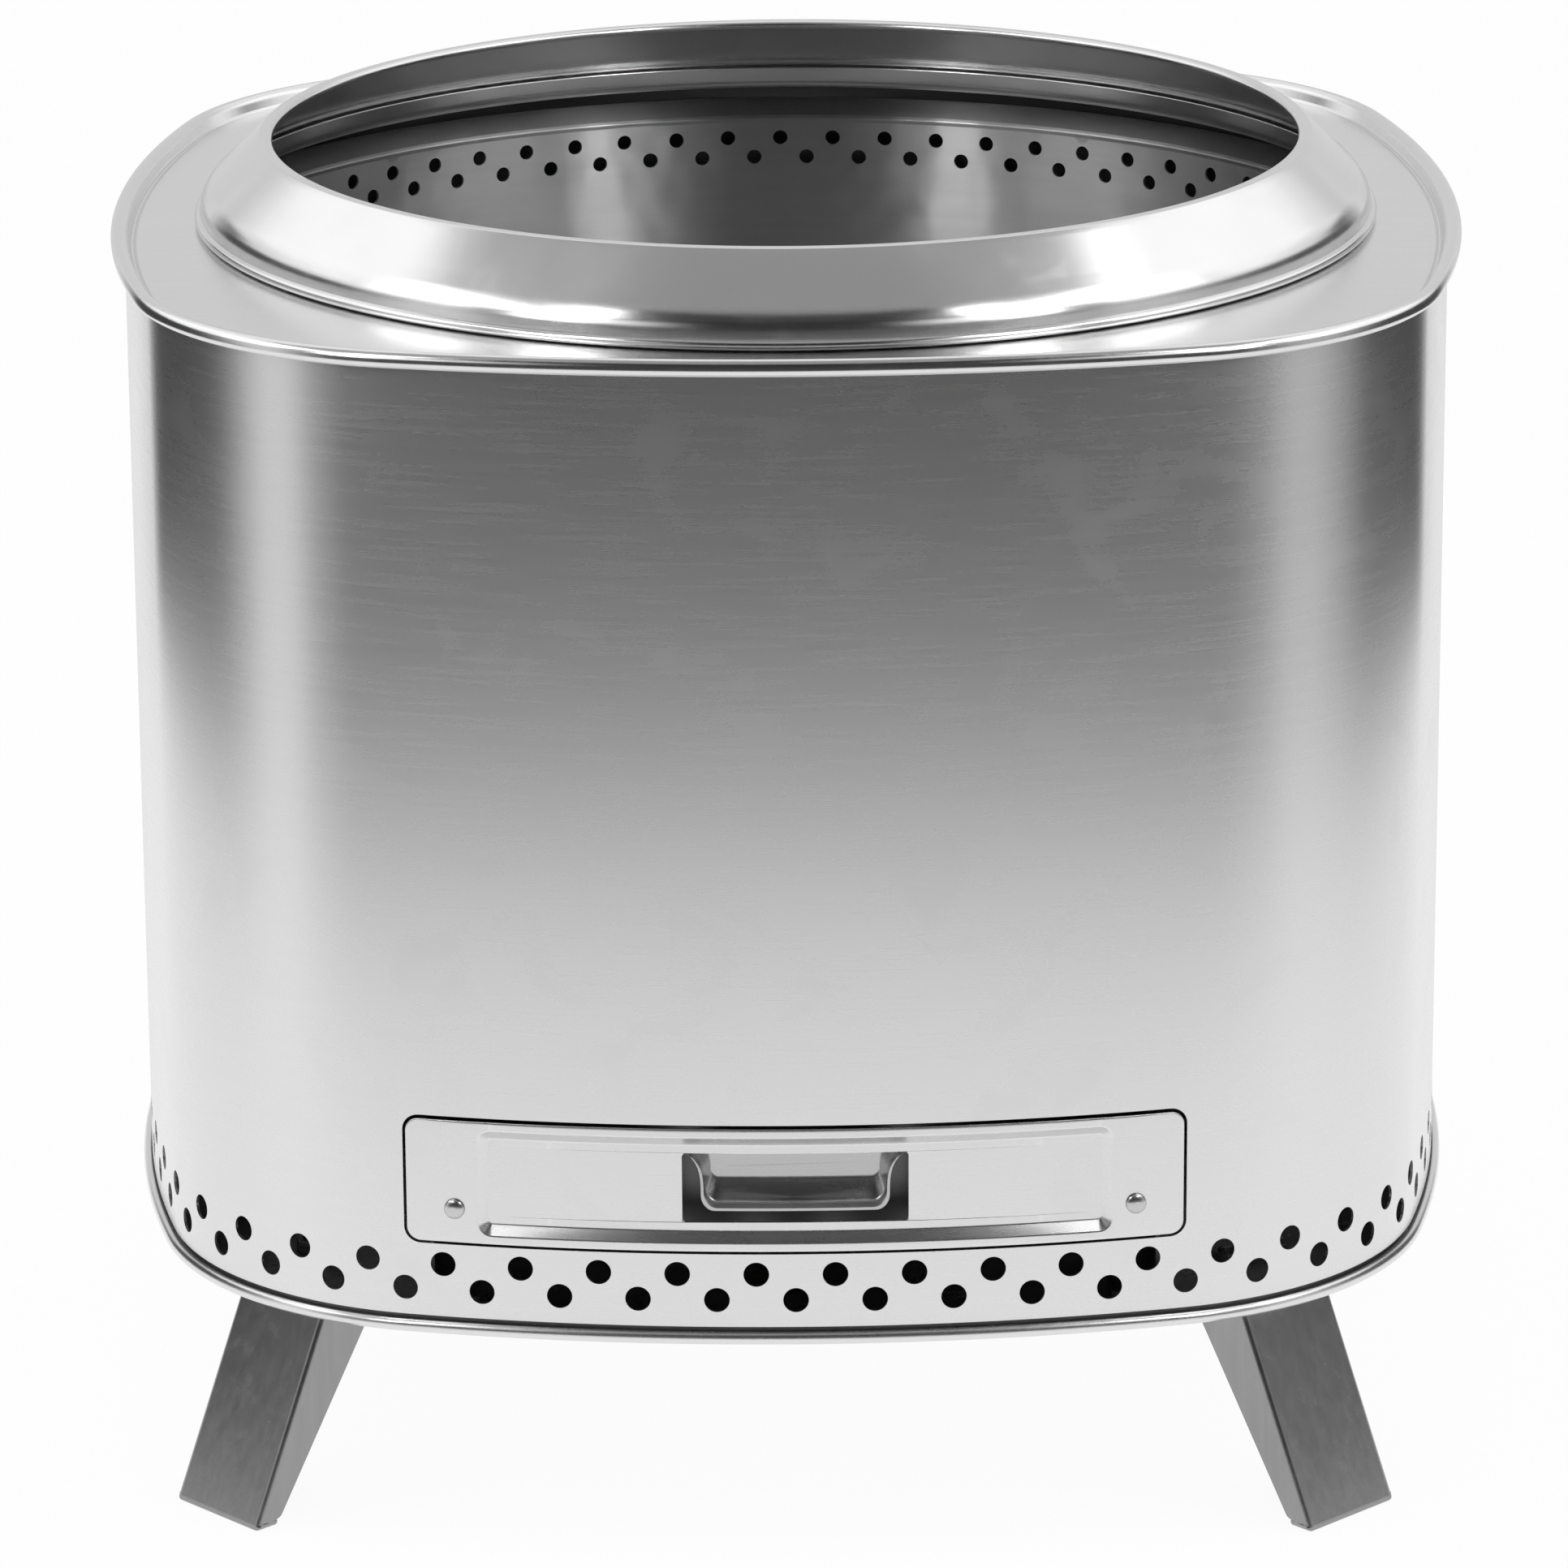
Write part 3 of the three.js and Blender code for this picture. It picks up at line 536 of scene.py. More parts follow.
straightGrain = straightGrainGroup()
roundGrain = roundGrainGroup()
handling = handlingGroup()

plainFinish = {"grain": straightGrain, "anisotropic": 0, "bump": 0.05, "size": 13}
brushedFinish = {
    **plainFinish, "stretch": (110, 110, 2600), "rough": (0.25, 0.29),
    "anisotropic": 0.65, "bump": 0.02, "size": 7,
}
finishes = {
    "wallSteel": {**brushedFinish, "tones": (0.73, 0.79)},
    "deckSteel": {
        **plainFinish, "stretch": (110, 2600, 110), "tones": (0.7, 0.8), "rough": (0.18, 0.24),
        "anisotropic": 0.3, "size": 9,
    },
    "ringSteel": {
        **plainFinish, "grain": roundGrain, "fineness": 2600, "length": 22, "tones": (0.66, 0.8),
        "rough": (0.17, 0.25), "anisotropic": 0.6, "size": 11,
    },
    "chamberSteel": {
        **plainFinish, "stretch": (110, 110, 1500), "tones": (0.5, 0.6), "rough": (0.3, 0.34),
        "anisotropic": 1, "bump": 0.03, "wave": 0.004,
    },
    # painted shade: a dark steel for faces that stand in shade, behind a front or inside the barrel
    "insideSteel": {
        **plainFinish, "stretch": (90, 90, 900), "tones": (0.12, 0.2), "rough": (0.5, 0.6), "bump": 0.04,
    },
    "plainSteel": {**plainFinish, "stretch": (90, 1500, 1500), "tones": (0.42, 0.5), "rough": (0.34, 0.42)},
    "grateSteel": {
        **plainFinish, "stretch": (90, 1200, 90), "tones": (0.3, 0.4), "rough": (0.4, 0.5),
        "bump": 0.08, "size": 20,
    },
    # painted shade: the wall's steel made darker for the finger pull, which sits in a recess
    "pullSteelPaintedShade": {**brushedFinish, "tones": (0.5, 0.56)},
    # painted shade: the plain steel made darker for the ash tray, seen in the gap behind the window
    "traySteelPaintedShade": {**plainFinish, "stretch": (90, 1500, 1500), "tones": (0.2, 0.28), "rough": (0.4, 0.48)},
    "legSteel": {
        **plainFinish, "stretch": (1300, 1300, 130), "tones": (0.26, 0.36), "rough": (0.2, 0.28),
        "bump": 0.08, "size": 26,
    },
    "boltSteel": {
        **plainFinish, "grain": roundGrain, "fineness": 2500, "length": 60, "tones": (0.5, 0.66),
        "rough": (0.22, 0.3), "size": 60,
    },
}


def steelMaterial(name):
    finish = finishes[name]
    material, tree = newMaterial(name)
    grain = addNode(tree, "ShaderNodeGroup", node_tree=finish["grain"])
    for socket in grain.inputs:
        socket.default_value = finish[socket.name.lower()]
    wear = addNode(tree, "ShaderNodeGroup", node_tree=handling, Size=finish["size"])
    streaks, cloud = grain.outputs["Streaks"], wear.outputs["Cloud"]
    clouds = mathNode(tree, "MULTIPLY", cloud, shading["cloudShare"])
    tone = addNode(tree, "ShaderNodeMix", data_type="RGBA")
    for label, level in zip(("A", "B"), finish["tones"]):
        tone.inputs[label].default_value = (level, level, level, 1)
    feed(tree, tone.inputs["Factor"], mathNode(tree, "MULTIPLY_ADD", streaks, shading["streakShare"], clouds))
    marks = mathNode(tree, "MULTIPLY_ADD", wear.outputs["Smudge"], shading["roughSmudge"], streaks)
    low, high = finish["rough"]
    rough = addNode(tree, "ShaderNodeMapRange", To_Min=low, To_Max=high, Value=marks)
    bump = addNode(
        tree, "ShaderNodeBump", Strength=finish["bump"], Distance=shading["bumpDistance"],
        Height=grain.outputs["Grain"],
    )
    if "wave" in finish:
        wave = addNode(
            tree, "ShaderNodeBump", Strength=shading["waveStrength"], Distance=finish["wave"], Height=cloud,
        )
        feed(tree, bump.inputs["Normal"], wave.outputs["Normal"])
    shader = {
        "Metallic": 1,
        "Anisotropic": finish["anisotropic"],
        "Anisotropic Rotation": shading["brushingTurn"],
        "Base Color": tone.outputs["Result"],
        "Roughness": rough.outputs["Result"],
        "Normal": bump.outputs["Normal"],
    }
    for label, value in shader.items():
        feed(tree, tree.nodes["Principled BSDF"].inputs[label], value)
    return material


steel = {name: steelMaterial(name) for name in finishes}
print("materials done:", len(steel))

# Outer wall

wall = {
    "rows": 7,
    "airHoleRadius": 4.7,
    "airRows": [(16.7, 0, 29), (26.6, 0.5, 30)],  # above the pan's lower edge, pitches back, end of the count
    "airHolePitch": 28.8,
    "airHolesEachSide": 28,
    "openingHalf": 142.7,
    "openingBottom": 34.4,
    "openingHeight": 49.5,
    "openingRound": 6,
    "openingSteps": (8, 36, 6),  # round a corner, along and up an edge
}
openingBase = panBase + wall["openingBottom"]
openingTop = openingBase + wall["openingHeight"]


def roundedRectangle(halfX, zLow, zHigh, radius, cornerSteps, edgeSteps, sideSteps, topRadius=None):
    points = []
    top = topRadius or radius
    spots = [(halfX, zHigh, top), (-halfX, zHigh, top), (-halfX, zLow, radius), (halfX, zLow, radius)]
    for quarter, (x, z, bend) in enumerate(spots):
        centre = Vector((x - math.copysign(bend, x), z - (bend if z == zHigh else -bend)))
        for i in range(cornerSteps + 1):
            angle = quarterTurn * (quarter + i / cornerSteps)
            points.append(centre + bend * Vector((math.cos(angle), math.sin(angle))))
        steps = sideSteps if quarter % 2 else edgeSteps
        nextX, nextZ, nextBend = spots[(quarter + 1) % 4]
        if quarter % 2 == 0:
            target = Vector((nextX - math.copysign(nextBend, nextX), z))
        else:
            target = Vector((nextX, nextZ - (nextBend if nextZ == zHigh else -nextBend)))
        last = points[-1]
        points += [last.lerp(target, i / steps) for i in range(1, steps)]
    return points


def outerWall():
    low, high = wallLow.z, wallHigh.z
    half = 2 * quarterLength
    columns = sorted((length + half) % (4 * quarterLength) - half for length in outlineLengths)
    columns = [-half] + [c for c in columns if c > -half + 1] + [half]
    rows = [low + (high - low) * i / wall["rows"] for i in range(wall["rows"] + 1)]
    holes = []
    for height, shift, count in wall["airRows"]:
        for i in range(-wall["airHolesEachSide"], count):
            along = (i - shift) * wall["airHolePitch"]
            holes.append(roundHole(along, panBase + height, wall["airHoleRadius"]))
    opening = roundedRectangle(
        wall["openingHalf"], openingBase, openingTop, wall["openingRound"], *wall["openingSteps"]
    )
    holes.append([(lengthAt(x), z) for x, z in opening])

    def bend(along, height, depth):
        angle = angleAlong(along)
        point = outlinePoint(angle, -depth).to_3d() + Vector((0, 0, height))
        return point, Vector((math.sin(angle), -math.cos(angle), 0))

    return bentSheet(columns, rows, holes, bend)


addSheet("wall_sheet", *outerWall(), "barrel_body", "wall_steel", "wallSteel", ["outer_shell"])
print("outer wall done")

# Deck with the rolled rim that closes the top of the wall

deck = {
    "foot": (0.4, -1.9),  # out from the wall, above the seam
    "roll": (1.9, 1.45, 3.2),  # and radius
    "rollTurn": (-100, 165, 40),  # degrees from and to, and steps
    "groove": [(-1.3, 1.9), (-2.0, -0.4, 0.6), (-2.7, -1.9, 0.5), (-3.3, -1.9, 0.4), (-4.2, -0.9)],
    "grooveSteps": 4,
    "edgeInset": 5.2,
    "deckEdge": -0.8,
    "underEdge": -2.9,
    "deckInner": -0.2,
    "deckRings": 8,
    "collarInset": 4.4,  # from the flame ring's reach
    "collarHeight": 9.8,
    "collarFold": 3.5,
    "foldSteps": 8,
    "collarEdge": 0.3,
}
collarOuter = ringReach - deck["collarInset"]
collarInner = collarOuter - sheet
collarTop = deckLow.z + deck["collarHeight"] - seam


def ringsBetween(first, last, shares):
    return [[a.lerp(b, t) for a, b in zip(first, last)] for t in shares]


def topDeck():
    size = deck
    rim = [Vector(size["foot"])]
    rim += arc(size["roll"], size["roll"][2], *size["rollTurn"])
    rim += rounded(size["groove"], size["grooveSteps"])
    rings = [outlineRing(p.x, seam + p.y) for p in rim]
    fold, base, chamfer = size["collarFold"], size["deckInner"], size["collarEdge"]
    edge = outlineRing(-size["edgeInset"], seam + size["deckEdge"])
    inner = circleRing(collarOuter + fold, seam + base)
    under = circleRing(collarInner + fold + sheet, seam + base - sheet)
    underEdge = outlineRing(-size["edgeInset"], seam + size["underEdge"])
    shares = [i / size["deckRings"] for i in range(size["deckRings"] + 1)]
    rings += ringsBetween(edge, inner, shares[:-1])
    collar = arc((collarOuter + fold, base + fold), fold, -90, -180, size["foldSteps"])
    collar += [
        Vector((collarOuter, collarTop - chamfer)), Vector((collarOuter - chamfer, collarTop)),
        Vector((collarInner + chamfer, collarTop)), Vector((collarInner, collarTop - chamfer)),
    ]
    inside = arc((collarInner + fold + sheet, base + fold), fold + sheet, -180, -90, size["foldSteps"])
    rings += [circleRing(p.x, seam + p.y) for p in collar + inside[:-1]]
    rings += ringsBetween(under, underEdge, shares)
    footX, footZ = size["foot"]
    rings.append(outlineRing(-footX, seam + footZ))
    return loft(rings)


addPiece("deck_sheet", *topDeck(), "barrel_body", "deck_steel", "deckSteel", ["top_deck"], 50)
print("deck done")

# Flame ring

ring = {
    "steps": 240,
    # distance from the axis, height above the seam, and bend radius
    "hem": (222.5, 2.1, 1.9),
    "hemTurn": (-150, 75, 20),  # degrees from and to, and steps
    "outside": [
        (222.4, 4.2),
        (221.7, 8.8, 9),
        (218.7, 13.4, 20),
        (213.5, 18.3, 60),
        (208.5, 23.1, 60),
        (200.6, 30.7, 60),
        (199.2, 31.9, 0.9),
        (197.0, 32.0),
    ],
    "lip": (196.0, 30.25, 1.75),
    "lipTurn": (85, 320, 22),
    "inside": [
        (197.4, 29.9),
        (199.4, 30.4, 0.8),
        (207.6, 22.4, 20),
        (216.5, 13.7, 20),
        (219.6, 10.6, 6),
        (220.7, 8.2, 1),
        (221.4, 4.6, 1),
    ],
    "insideSteps": 4,
}


def flameRing():
    section = arc(ring["hem"], ring["hem"][2], *ring["hemTurn"])
    section += rounded(ring["outside"])
    section += arc(ring["lip"], ring["lip"][2], *ring["lipTurn"])
    section += rounded(ring["inside"], ring["insideSteps"])
    return loft([[p + Vector((0, 0, seam)) for p in r] for r in turned(section, ring["steps"])])


addPiece("ring_sheet", *flameRing(), "top_ring", "ring_steel", "ringSteel", ["flame_ring"], 50)
print("flame ring done")

# Fire chamber

drum = {
    "inner": 233.7,
    "steps": 216,
    "crease": -15.6,  # above the seam
    "bead": [(0, -2.5, 1), (-0.7, -0.8, 0.8), (0.6, 0.4, 0.8)],  # outward, above the crease, bend radius
    "rim": (2.2, 1),  # width, bend radius
    "bendSteps": 4,
    "flangeTop": -11.0,
    "holeRadius": 3,
    "holeSides": 20,
    "holePitch": 0.0916,  # radians
    "holeCount": 68,
    "holeRows": [(-24.5, 0), (-32.5, 0.5)],  # above the seam, and steps along
    "rows": (0, 0.2, 0.4, 0.6, 0.7, 0.76, 0.8, 0.84, 0.88, 0.92, 0.96),  # shares of the straight wall
    "turn": -0.0428,
    "joint": 3.1645,  # the rolled sheet's joint, from the middle of the back
    # along, above the seam, depth, size
    "dents": [(-71, -27, 1.6, 9), (-53, -30, -1.5, 8), (-62, -52, 0.8, 14)],
}


def innerDrum():
    inner = drum["inner"]
    crease, top = seam + drum["crease"], seam + drum["flangeTop"]
    bead = [(inner + out, crease + up, bend) for out, up, bend in drum["bead"]]
    width, rimBend = drum["rim"]
    rim = [(drumHigh.x - width, top, rimBend), (drumHigh.x, top)]
    line = rounded([(inner, drumLow.z), *bead, *rim], drum["bendSteps"])
    lengths = [0]
    for a, b in zip(line, line[1:]):
        lengths.append(lengths[-1] + (b - a).length)
    ways = []
    for i in range(len(line)):
        before, after = line[max(i - 1, 0)], line[min(i + 1, len(line) - 1)]
        way = (after - before).normalized()
        ways.append(Vector((-way.y, way.x)))

    def bend(along, height, depth):
        i = 0
        while i < len(lengths) - 2 and height > lengths[i + 1]:
            i += 1
        t = (height - lengths[i]) / (lengths[i + 1] - lengths[i])
        spot, way = line[i].lerp(line[i + 1], t), ways[i].lerp(ways[i + 1], t).normalized()
        sunk = depth
        for where, level, deep, width in drum["dents"]:
            away = ((along - where) ** 2 + (spot.y - seam - level) ** 2) / width**2
            sunk += deep * math.exp(-away)
        spot = spot - way * sunk
        angle = math.pi + drum["turn"] - along / inner
        point = Vector((spot.x * math.sin(angle), -spot.x * math.cos(angle), spot.y))
        return point, Vector((way.x * math.sin(angle), -way.x * math.cos(angle), way.y))

    start = (drum["joint"] - fullTurn) * inner
    columns = [start + fullTurn * inner * i / drum["steps"] for i in range(drum["steps"] + 1)]
    rows = [lengths[1] * share for share in drum["rows"]] + lengths[1:]
    holes = []
    for i in range(drum["holeCount"]):
        step = i - (drum["holeCount"] - 1) / 2
        for height, shift in drum["holeRows"]:
            along = (step + shift) * drum["holePitch"] * inner
            holes.append(roundHole(along, seam + height - drumLow.z, drum["holeRadius"], drum["holeSides"]))
    return bentSheet(columns, rows, holes, bend)


addSheet("drum_sheet", *innerDrum(), "barrel_body", "chamber_steel", "chamberSteel", ["inner_drum"])
print("fire chamber done")

# Floor of the chamber, and the grate in its seat

chamberFloor = {
    "steps": 160,
    "depth": 16,
    "fall": 4.5,
    "seatRadius": 129.5,
    "seatFlare": (2, 0.5),  # wider than the seat at its upper and lower end
    "holeRadius": 108,
    "lip": 3.5,
    "bends": (3, 2, 1.2),
    "bendSteps": 5,
}


def drumFloor():
    size = chamberFloor
    edge = floorHigh.z - size["depth"]
    seat, hole = size["seatRadius"], size["holeRadius"] + sheet
    seatTop = floorLow.z + size["lip"] - sheet
    wide, narrow = size["seatFlare"]
    outerBend, seatBend, lipBend = size["bends"]
    line = rounded([
        (floorHigh.x, floorHigh.z), (floorHigh.x, edge, outerBend),
        (seat + wide, edge - size["fall"], seatBend), (seat + narrow, seatTop, lipBend),
        (hole, seatTop, lipBend), (hole, floorLow.z),
    ], size["bendSteps"])
    return loft(turned(thickened(line, -sheet), size["steps"]))


grate = {
    "edgeSteps": 120,
    "edge": 0.4,
    "slotWidth": 9,
    "slotPitch": 26,
    "slotEnd": 14,
    "slotRib": 12,
    "slotSteps": 8,
    "slotsEachSide": 3,
}


def slotLoop(xFrom, xTo, y):
    radius, steps = grate["slotWidth"] / 2, grate["slotSteps"]
    loop = []
    for x, first in ((xFrom + radius, quarterTurn), (xTo - radius, -quarterTurn)):
        turns = [first + math.pi * i / steps for i in range(steps + 1)]
        loop += [Vector((x, y)) + radius * Vector((math.cos(t), math.sin(t))) for t in turns]
    return loop


def fireGrate():
    radius, each, rib = grateHigh.x, grate["slotsEachSide"], grate["slotRib"] / 2
    slots = []
    for i in range(-each, each + 1):
        y = i * grate["slotPitch"]
        reach = math.sqrt((radius - grate["slotEnd"]) ** 2 - (abs(y) + grate["slotWidth"] / 2) ** 2)
        slots += [slotLoop(rib, reach, y), slotLoop(-reach, -rib, y)]
    flat, kept = cutFlat(roundHole(0, 0, radius - grate["edge"], grate["edgeSteps"]), slots)
    triangles = []
    for a, b, c in kept:
        clockwise = (flat[b] - flat[a]).cross(flat[c] - flat[a]) < 0
        triangles.append((a, c, b) if clockwise else (a, b, c))
    verts = [Vector((p.x, p.y, z)) for z in (grateHigh.z, grateLow.z) for p in flat]
    return verts, twoSided(triangles, len(flat))


addPiece("floor_dish", *drumFloor(), "barrel_body", "chamber_steel", "chamberSteel", ["drum_floor"])
addPiece("grate_disc", *fireGrate(), "grate", "grate_steel", "grateSteel", ["fire_grate"])
print("floor and grate done")

# Bottom pan

pan = {
    # out from the wall, above the pan's lower edge, and radius
    "inside": [(-6, 4), (-3.3, 4), (-1.4, 3.7)],
    "roll": (0.95, 2.35, 2.35),
    "rollTurn": (155, -90, 32),  # degrees from and to, and steps
    "underside": [(-1.0, 0.2), (-2.3, 0.6, 0.6), (-3.3, 3, 0.6), (-6, 3)],
    "undersideSteps": 5,
    "flange": [(-1.3, 3.4), (-1.3, 11), (-2.3, 11), (-2.3, 3.4)],
}


def basePan():
    section = [Vector(point) for point in pan["inside"]]
    section += arc(pan["roll"], pan["roll"][2], *pan["rollTurn"])
    section += rounded(pan["underside"], pan["undersideSteps"])
    return loft([outlineRing(p.x, panBase + p.y) for p in section], closedSection=False)


def panFlange():
    return loft([outlineRing(x, panBase + z) for x, z in pan["flange"]])


addPiece("pan_sheet", *basePan(), "barrel_body", "plain_steel", "wallSteel", ["base_pan"], 50)
# painted shade: the flange stands behind the wall and gets the dark steel
addPiece("pan_flange", *panFlange(), "barrel_body", "plain_steel", "insideSteel")
print("pan done")

# Drawer front

front = {
    "round": 5,
    "edge": 0.35,
    "fieldMarginX": 26.2,
    "fieldMarginZ": 3.3,
    "fieldRound": 5,
    "fieldDepth": 3.1,
    "fieldSlope": 3.8,
    "fieldBend": 1.3,
    "fieldRuns": (2, 3),  # level sheet before and after the slope
    "leastRound": 1.5,
    "bendSteps": 5,
    "faceShares": (0.4, 0.8, 0.985),  # of the way in to the window
    "windowHalf": 41.1,
    "windowBottom": 11.2,  # above the opening
    "windowHeight": 26.5,
    "windowRound": 1.6,
    "windowEdge": 0.3,
    "cornerSteps": 8,
    "edgeSteps": 40,
    "sideSteps": 8,
}
windowLow = openingBase + front["windowBottom"]
windowHigh = windowLow + front["windowHeight"]


def frontRing(halfX, zLow, zHigh, radius, offset, narrowing=0, flare=1, topRadius=None):
    # narrowing is the bottom's share that goes, and a higher flare keeps it further up
    steps = front["cornerSteps"], front["edgeSteps"], front["sideSteps"]
    points = []
    for x, z in roundedRectangle(halfX, zLow, zHigh, radius, *steps, topRadius):
        x *= 1 - narrowing * (1 - ((z - zLow) / (zHigh - zLow)) ** flare)
        points.append(Vector((x, frontY(x, offset), z)))
    return points


def drawerFront():
    size = front
    halfFront, low, high, edge = frontHigh.x, frontLow.z, frontHigh.z, size["edge"]
    slope, depth, bend = size["fieldSlope"], size["fieldDepth"], size["fieldBend"]
    before, after = size["fieldRuns"]
    # in from the field's edge, and its height
    line = [(-before, 0), (0, 0, bend), (slope, -depth, bend), (slope + after, -depth)]
    rings = []
    for inset, height in ((0, -edge), (edge, 0)):
        rings.append(frontRing(halfFront - inset, low + inset, high - inset, size["round"], height))
    fieldX = halfFront - size["fieldMarginX"]
    fieldLow, fieldHigh = low + size["fieldMarginZ"], high - size["fieldMarginZ"]
    face = []
    for p in rounded(line, size["bendSteps"]):
        bend = max(size["fieldRound"] - p.x, size["leastRound"])
        face.append((fieldX - p.x, fieldLow + p.x, fieldHigh - p.x, bend, p.y))
    last = face[-1][:4]
    target = (size["windowHalf"], windowLow, windowHigh, size["windowRound"])
    for share in size["faceShares"]:
        face.append(tuple(a + (b - a) * share for a, b in zip(last, target)) + (-depth,))
    face.append((*target, -depth - size["windowEdge"]))
    behind = [(*place, height - sheet) for *place, height in face[:-1]] + [(*target, -depth - sheet)]
    rings += [frontRing(*sizes) for sizes in face + behind[::-1]]
    rings.append(frontRing(halfFront, low, high, size["round"], -sheet))
    count = len(rings[0])
    return *loft(rings), range((len(face) + 2) * count, (len(rings) - 1) * count)


rivet = {
    "place": 124.1,
    "height": 14,
    "steps": 40,
    # distance from its axis, and height over the sheet
    "section": [(2.8, -4.1), (3.2, -3.7), (3.2, -2.7), (2, -2.7), (2, 0.1), (3.85, 0.1)],
    "dome": (3.85, 2, 0.25),  # radius, height, height of its edge over the sheet
    "domeSteps": 8,
}


def drawerRivet(side):
    radius, height, lift = rivet["dome"]
    turns = [quarterTurn * i / rivet["domeSteps"] for i in range(rivet["domeSteps"])]
    section = rivet["section"] + [(radius * math.cos(t), lift + height * math.sin(t)) for t in turns]
    verts, faces = loft(turned(section, rivet["steps"]), closedSection=False)
    place = side * rivet["place"]
    facing = Matrix.Rotation(side * math.asin(rivet["place"] / outline["sideRadius"]), 3, "Z")
    spot = Vector((place, frontY(place, 0), openingBase + rivet["height"]))
    return [facing @ Vector((-v.y, -v.z, v.x)) + spot for v in verts], faces


verts, faces, hidden = drawerFront()
panel = addPiece("drawer_panel", verts, faces, "ash_drawer", "wall_steel", "wallSteel", ["drawer_front"], 50)
# painted shade on the panel's faces behind the front
paintShade(panel, hidden)
for side, label in ((-1, "left"), (1, "right")):
    stands = [f"drawer_rivet_{label}"]
    addPiece(f"rivet_{label}", *drawerRivet(side), "ash_drawer", "bolt_steel", "boltSteel", stands)
print("drawer front done")

# Finger pull behind the window

pull = {
    "gap": 5,
    "sideGap": 0.8,
    "behind": 0.3,
    "sideIn": 7,
    "round": 6,
    "leastRound": 1.2,
    "topRound": 0.8,
    "flare": 5,
    # what the sides, the top, the corners and the flare lose for each millimetre in from the lip
    "losses": (0.75, 0.1, 0.3, 0.45),
    # in from the lip, depth behind the front, and bend radius
    "inside": [(0, 0), (0.6, 4.6, 2.5), (8.6, 9.4, 3), (13, 9.4)],
    "outside": [(-1, 0.4), (-0.4, 5.6, 3.5), (7.8, 10.4, 4), (13, 10.4)],
    "lip": [(0, 0, 0.35), (0, 0, 1), (0, 0.4, 1.2)],  # in, depth, and how much wider
}


def pullScoop():
    size = pull
    frontOffset = -front["fieldDepth"] - sheet - size["behind"]
    low, high = windowLow + size["gap"], windowHigh
    halfX, halfZ, centreZ = front["windowHalf"] - size["sideGap"], (high - low) / 2, (low + high) / 2
    sideLoss, topLoss, roundLoss, flareLoss = size["losses"]

    def bowl(inset, depth, grow=0):
        half = halfX - inset * sideLoss + grow
        return frontRing(
            half, centreZ - halfZ + inset - grow, centreZ + halfZ - inset * topLoss + grow,
            max(size["round"] - inset * roundLoss, size["leastRound"]), frontOffset - depth,
            (size["sideIn"] - inset * flareLoss) / half, size["flare"], size["topRound"],
        )

    inside, outside = rounded(size["inside"]), rounded(size["outside"])
    rings = [bowl(*spot) for spot in [*inside[::-1], *size["lip"], *outside]]
    verts, faces = loft(rings, closedSection=False)
    count = len(rings[0])
    return verts, faces, [*range((len(inside) + 2) * count, (len(rings) - 1) * count), len(faces) - 1]


verts, faces, hidden = pullScoop()
# painted shade: the bowl gets the darker copy of the wall's steel, and its outside the dark steel
bowl = addPiece("pull_bowl", verts, faces, "ash_drawer", "wall_steel", "pullSteelPaintedShade", ["pull_scoop"], 50)
paintShade(bowl, hidden)
print("finger pull done")

# Legs: sheet folded to a channel, with a tab under the pan and a turned-in foot

leg = {
    "inset": 22.6,  # from the wall's corner in to the leg's outer face
    "splay": math.radians(24.65),
    "turn": math.radians(-1.3),  # round from the corner
    "width": 46.8,
    "sheet": 2,
    "sideBend": 2.4,
    "top": 2.7,  # above the pan's lower edge
    "topBend": 3.5,
    "tabDepth": 37,
    "footBend": 1.6,
    "footDepth": 10.2,
    "leastSide": 0.1,  # over the bend
    "fillet": 3,
    "footGap": 0.2,
    "sideTop": 0.6,
    "sideWidthTop": 27.8,
    "sideWidthFoot": 10.6,
    "sideRound": 4.2,
    "stations": 10,
    "roundSteps": 6,
    "bendSteps": 8,
    "foldSteps": 5,
}


def legReach(z):
    return cornerReach - leg["inset"] + (panBase - z) * math.tan(leg["splay"])


def legStations():
    # places down the leg's outer face: distance from the axis, height, the side's direction and width
    size = leg
    top = panBase + size["top"]
    narrow, fillet = size["sideBend"] + size["leastSide"], size["fillet"]
    tabEnd = legReach(top) - size["tabDepth"]
    footEnd = legReach(0) - size["footDepth"]
    knee, heel = (legReach(top), top, size["topBend"]), (legReach(0), 0, size["footBend"])
    bends = rounded([(tabEnd, top), knee, heel, (footEnd, 0)], size["bendSteps"])
    topBend, footBend = bends[1:size["bendSteps"] + 2], bends[size["bendSteps"] + 2:-1]
    stations = [(tabEnd, top, -quarterTurn, narrow)]
    for i, point in enumerate(topBend):
        stations.append((point.x, point.y, -quarterTurn * (1 + i / size["bendSteps"]), narrow))
    sideTop, roundTop = panBase + size["sideTop"], size["sideRound"]
    roundEnd = footBend[0].y + size["footGap"]
    for i in range(size["stations"] + 1):
        t = i / size["stations"]
        z = sideTop + (roundTop - sideTop) * t
        width = size["sideWidthTop"] + (size["sideWidthFoot"] - size["sideWidthTop"]) * t
        stations.append((legReach(z), z, math.pi, width))
    for i in range(1, size["roundSteps"] + 1):
        angle = quarterTurn * i / size["roundSteps"]
        z = roundTop + (roundEnd - roundTop) * math.sin(angle)
        width = narrow + fillet + (size["sideWidthFoot"] - narrow - fillet) * math.cos(angle)
        stations.append((legReach(z), z, math.pi, width))
    for i, point in enumerate(footBend):
        t = i / size["bendSteps"]
        stations.append((point.x, point.y, math.pi - quarterTurn * t, narrow + fillet * (1 - t) ** 2))
    stations.append((footEnd, 0, quarterTurn, narrow))
    return stations


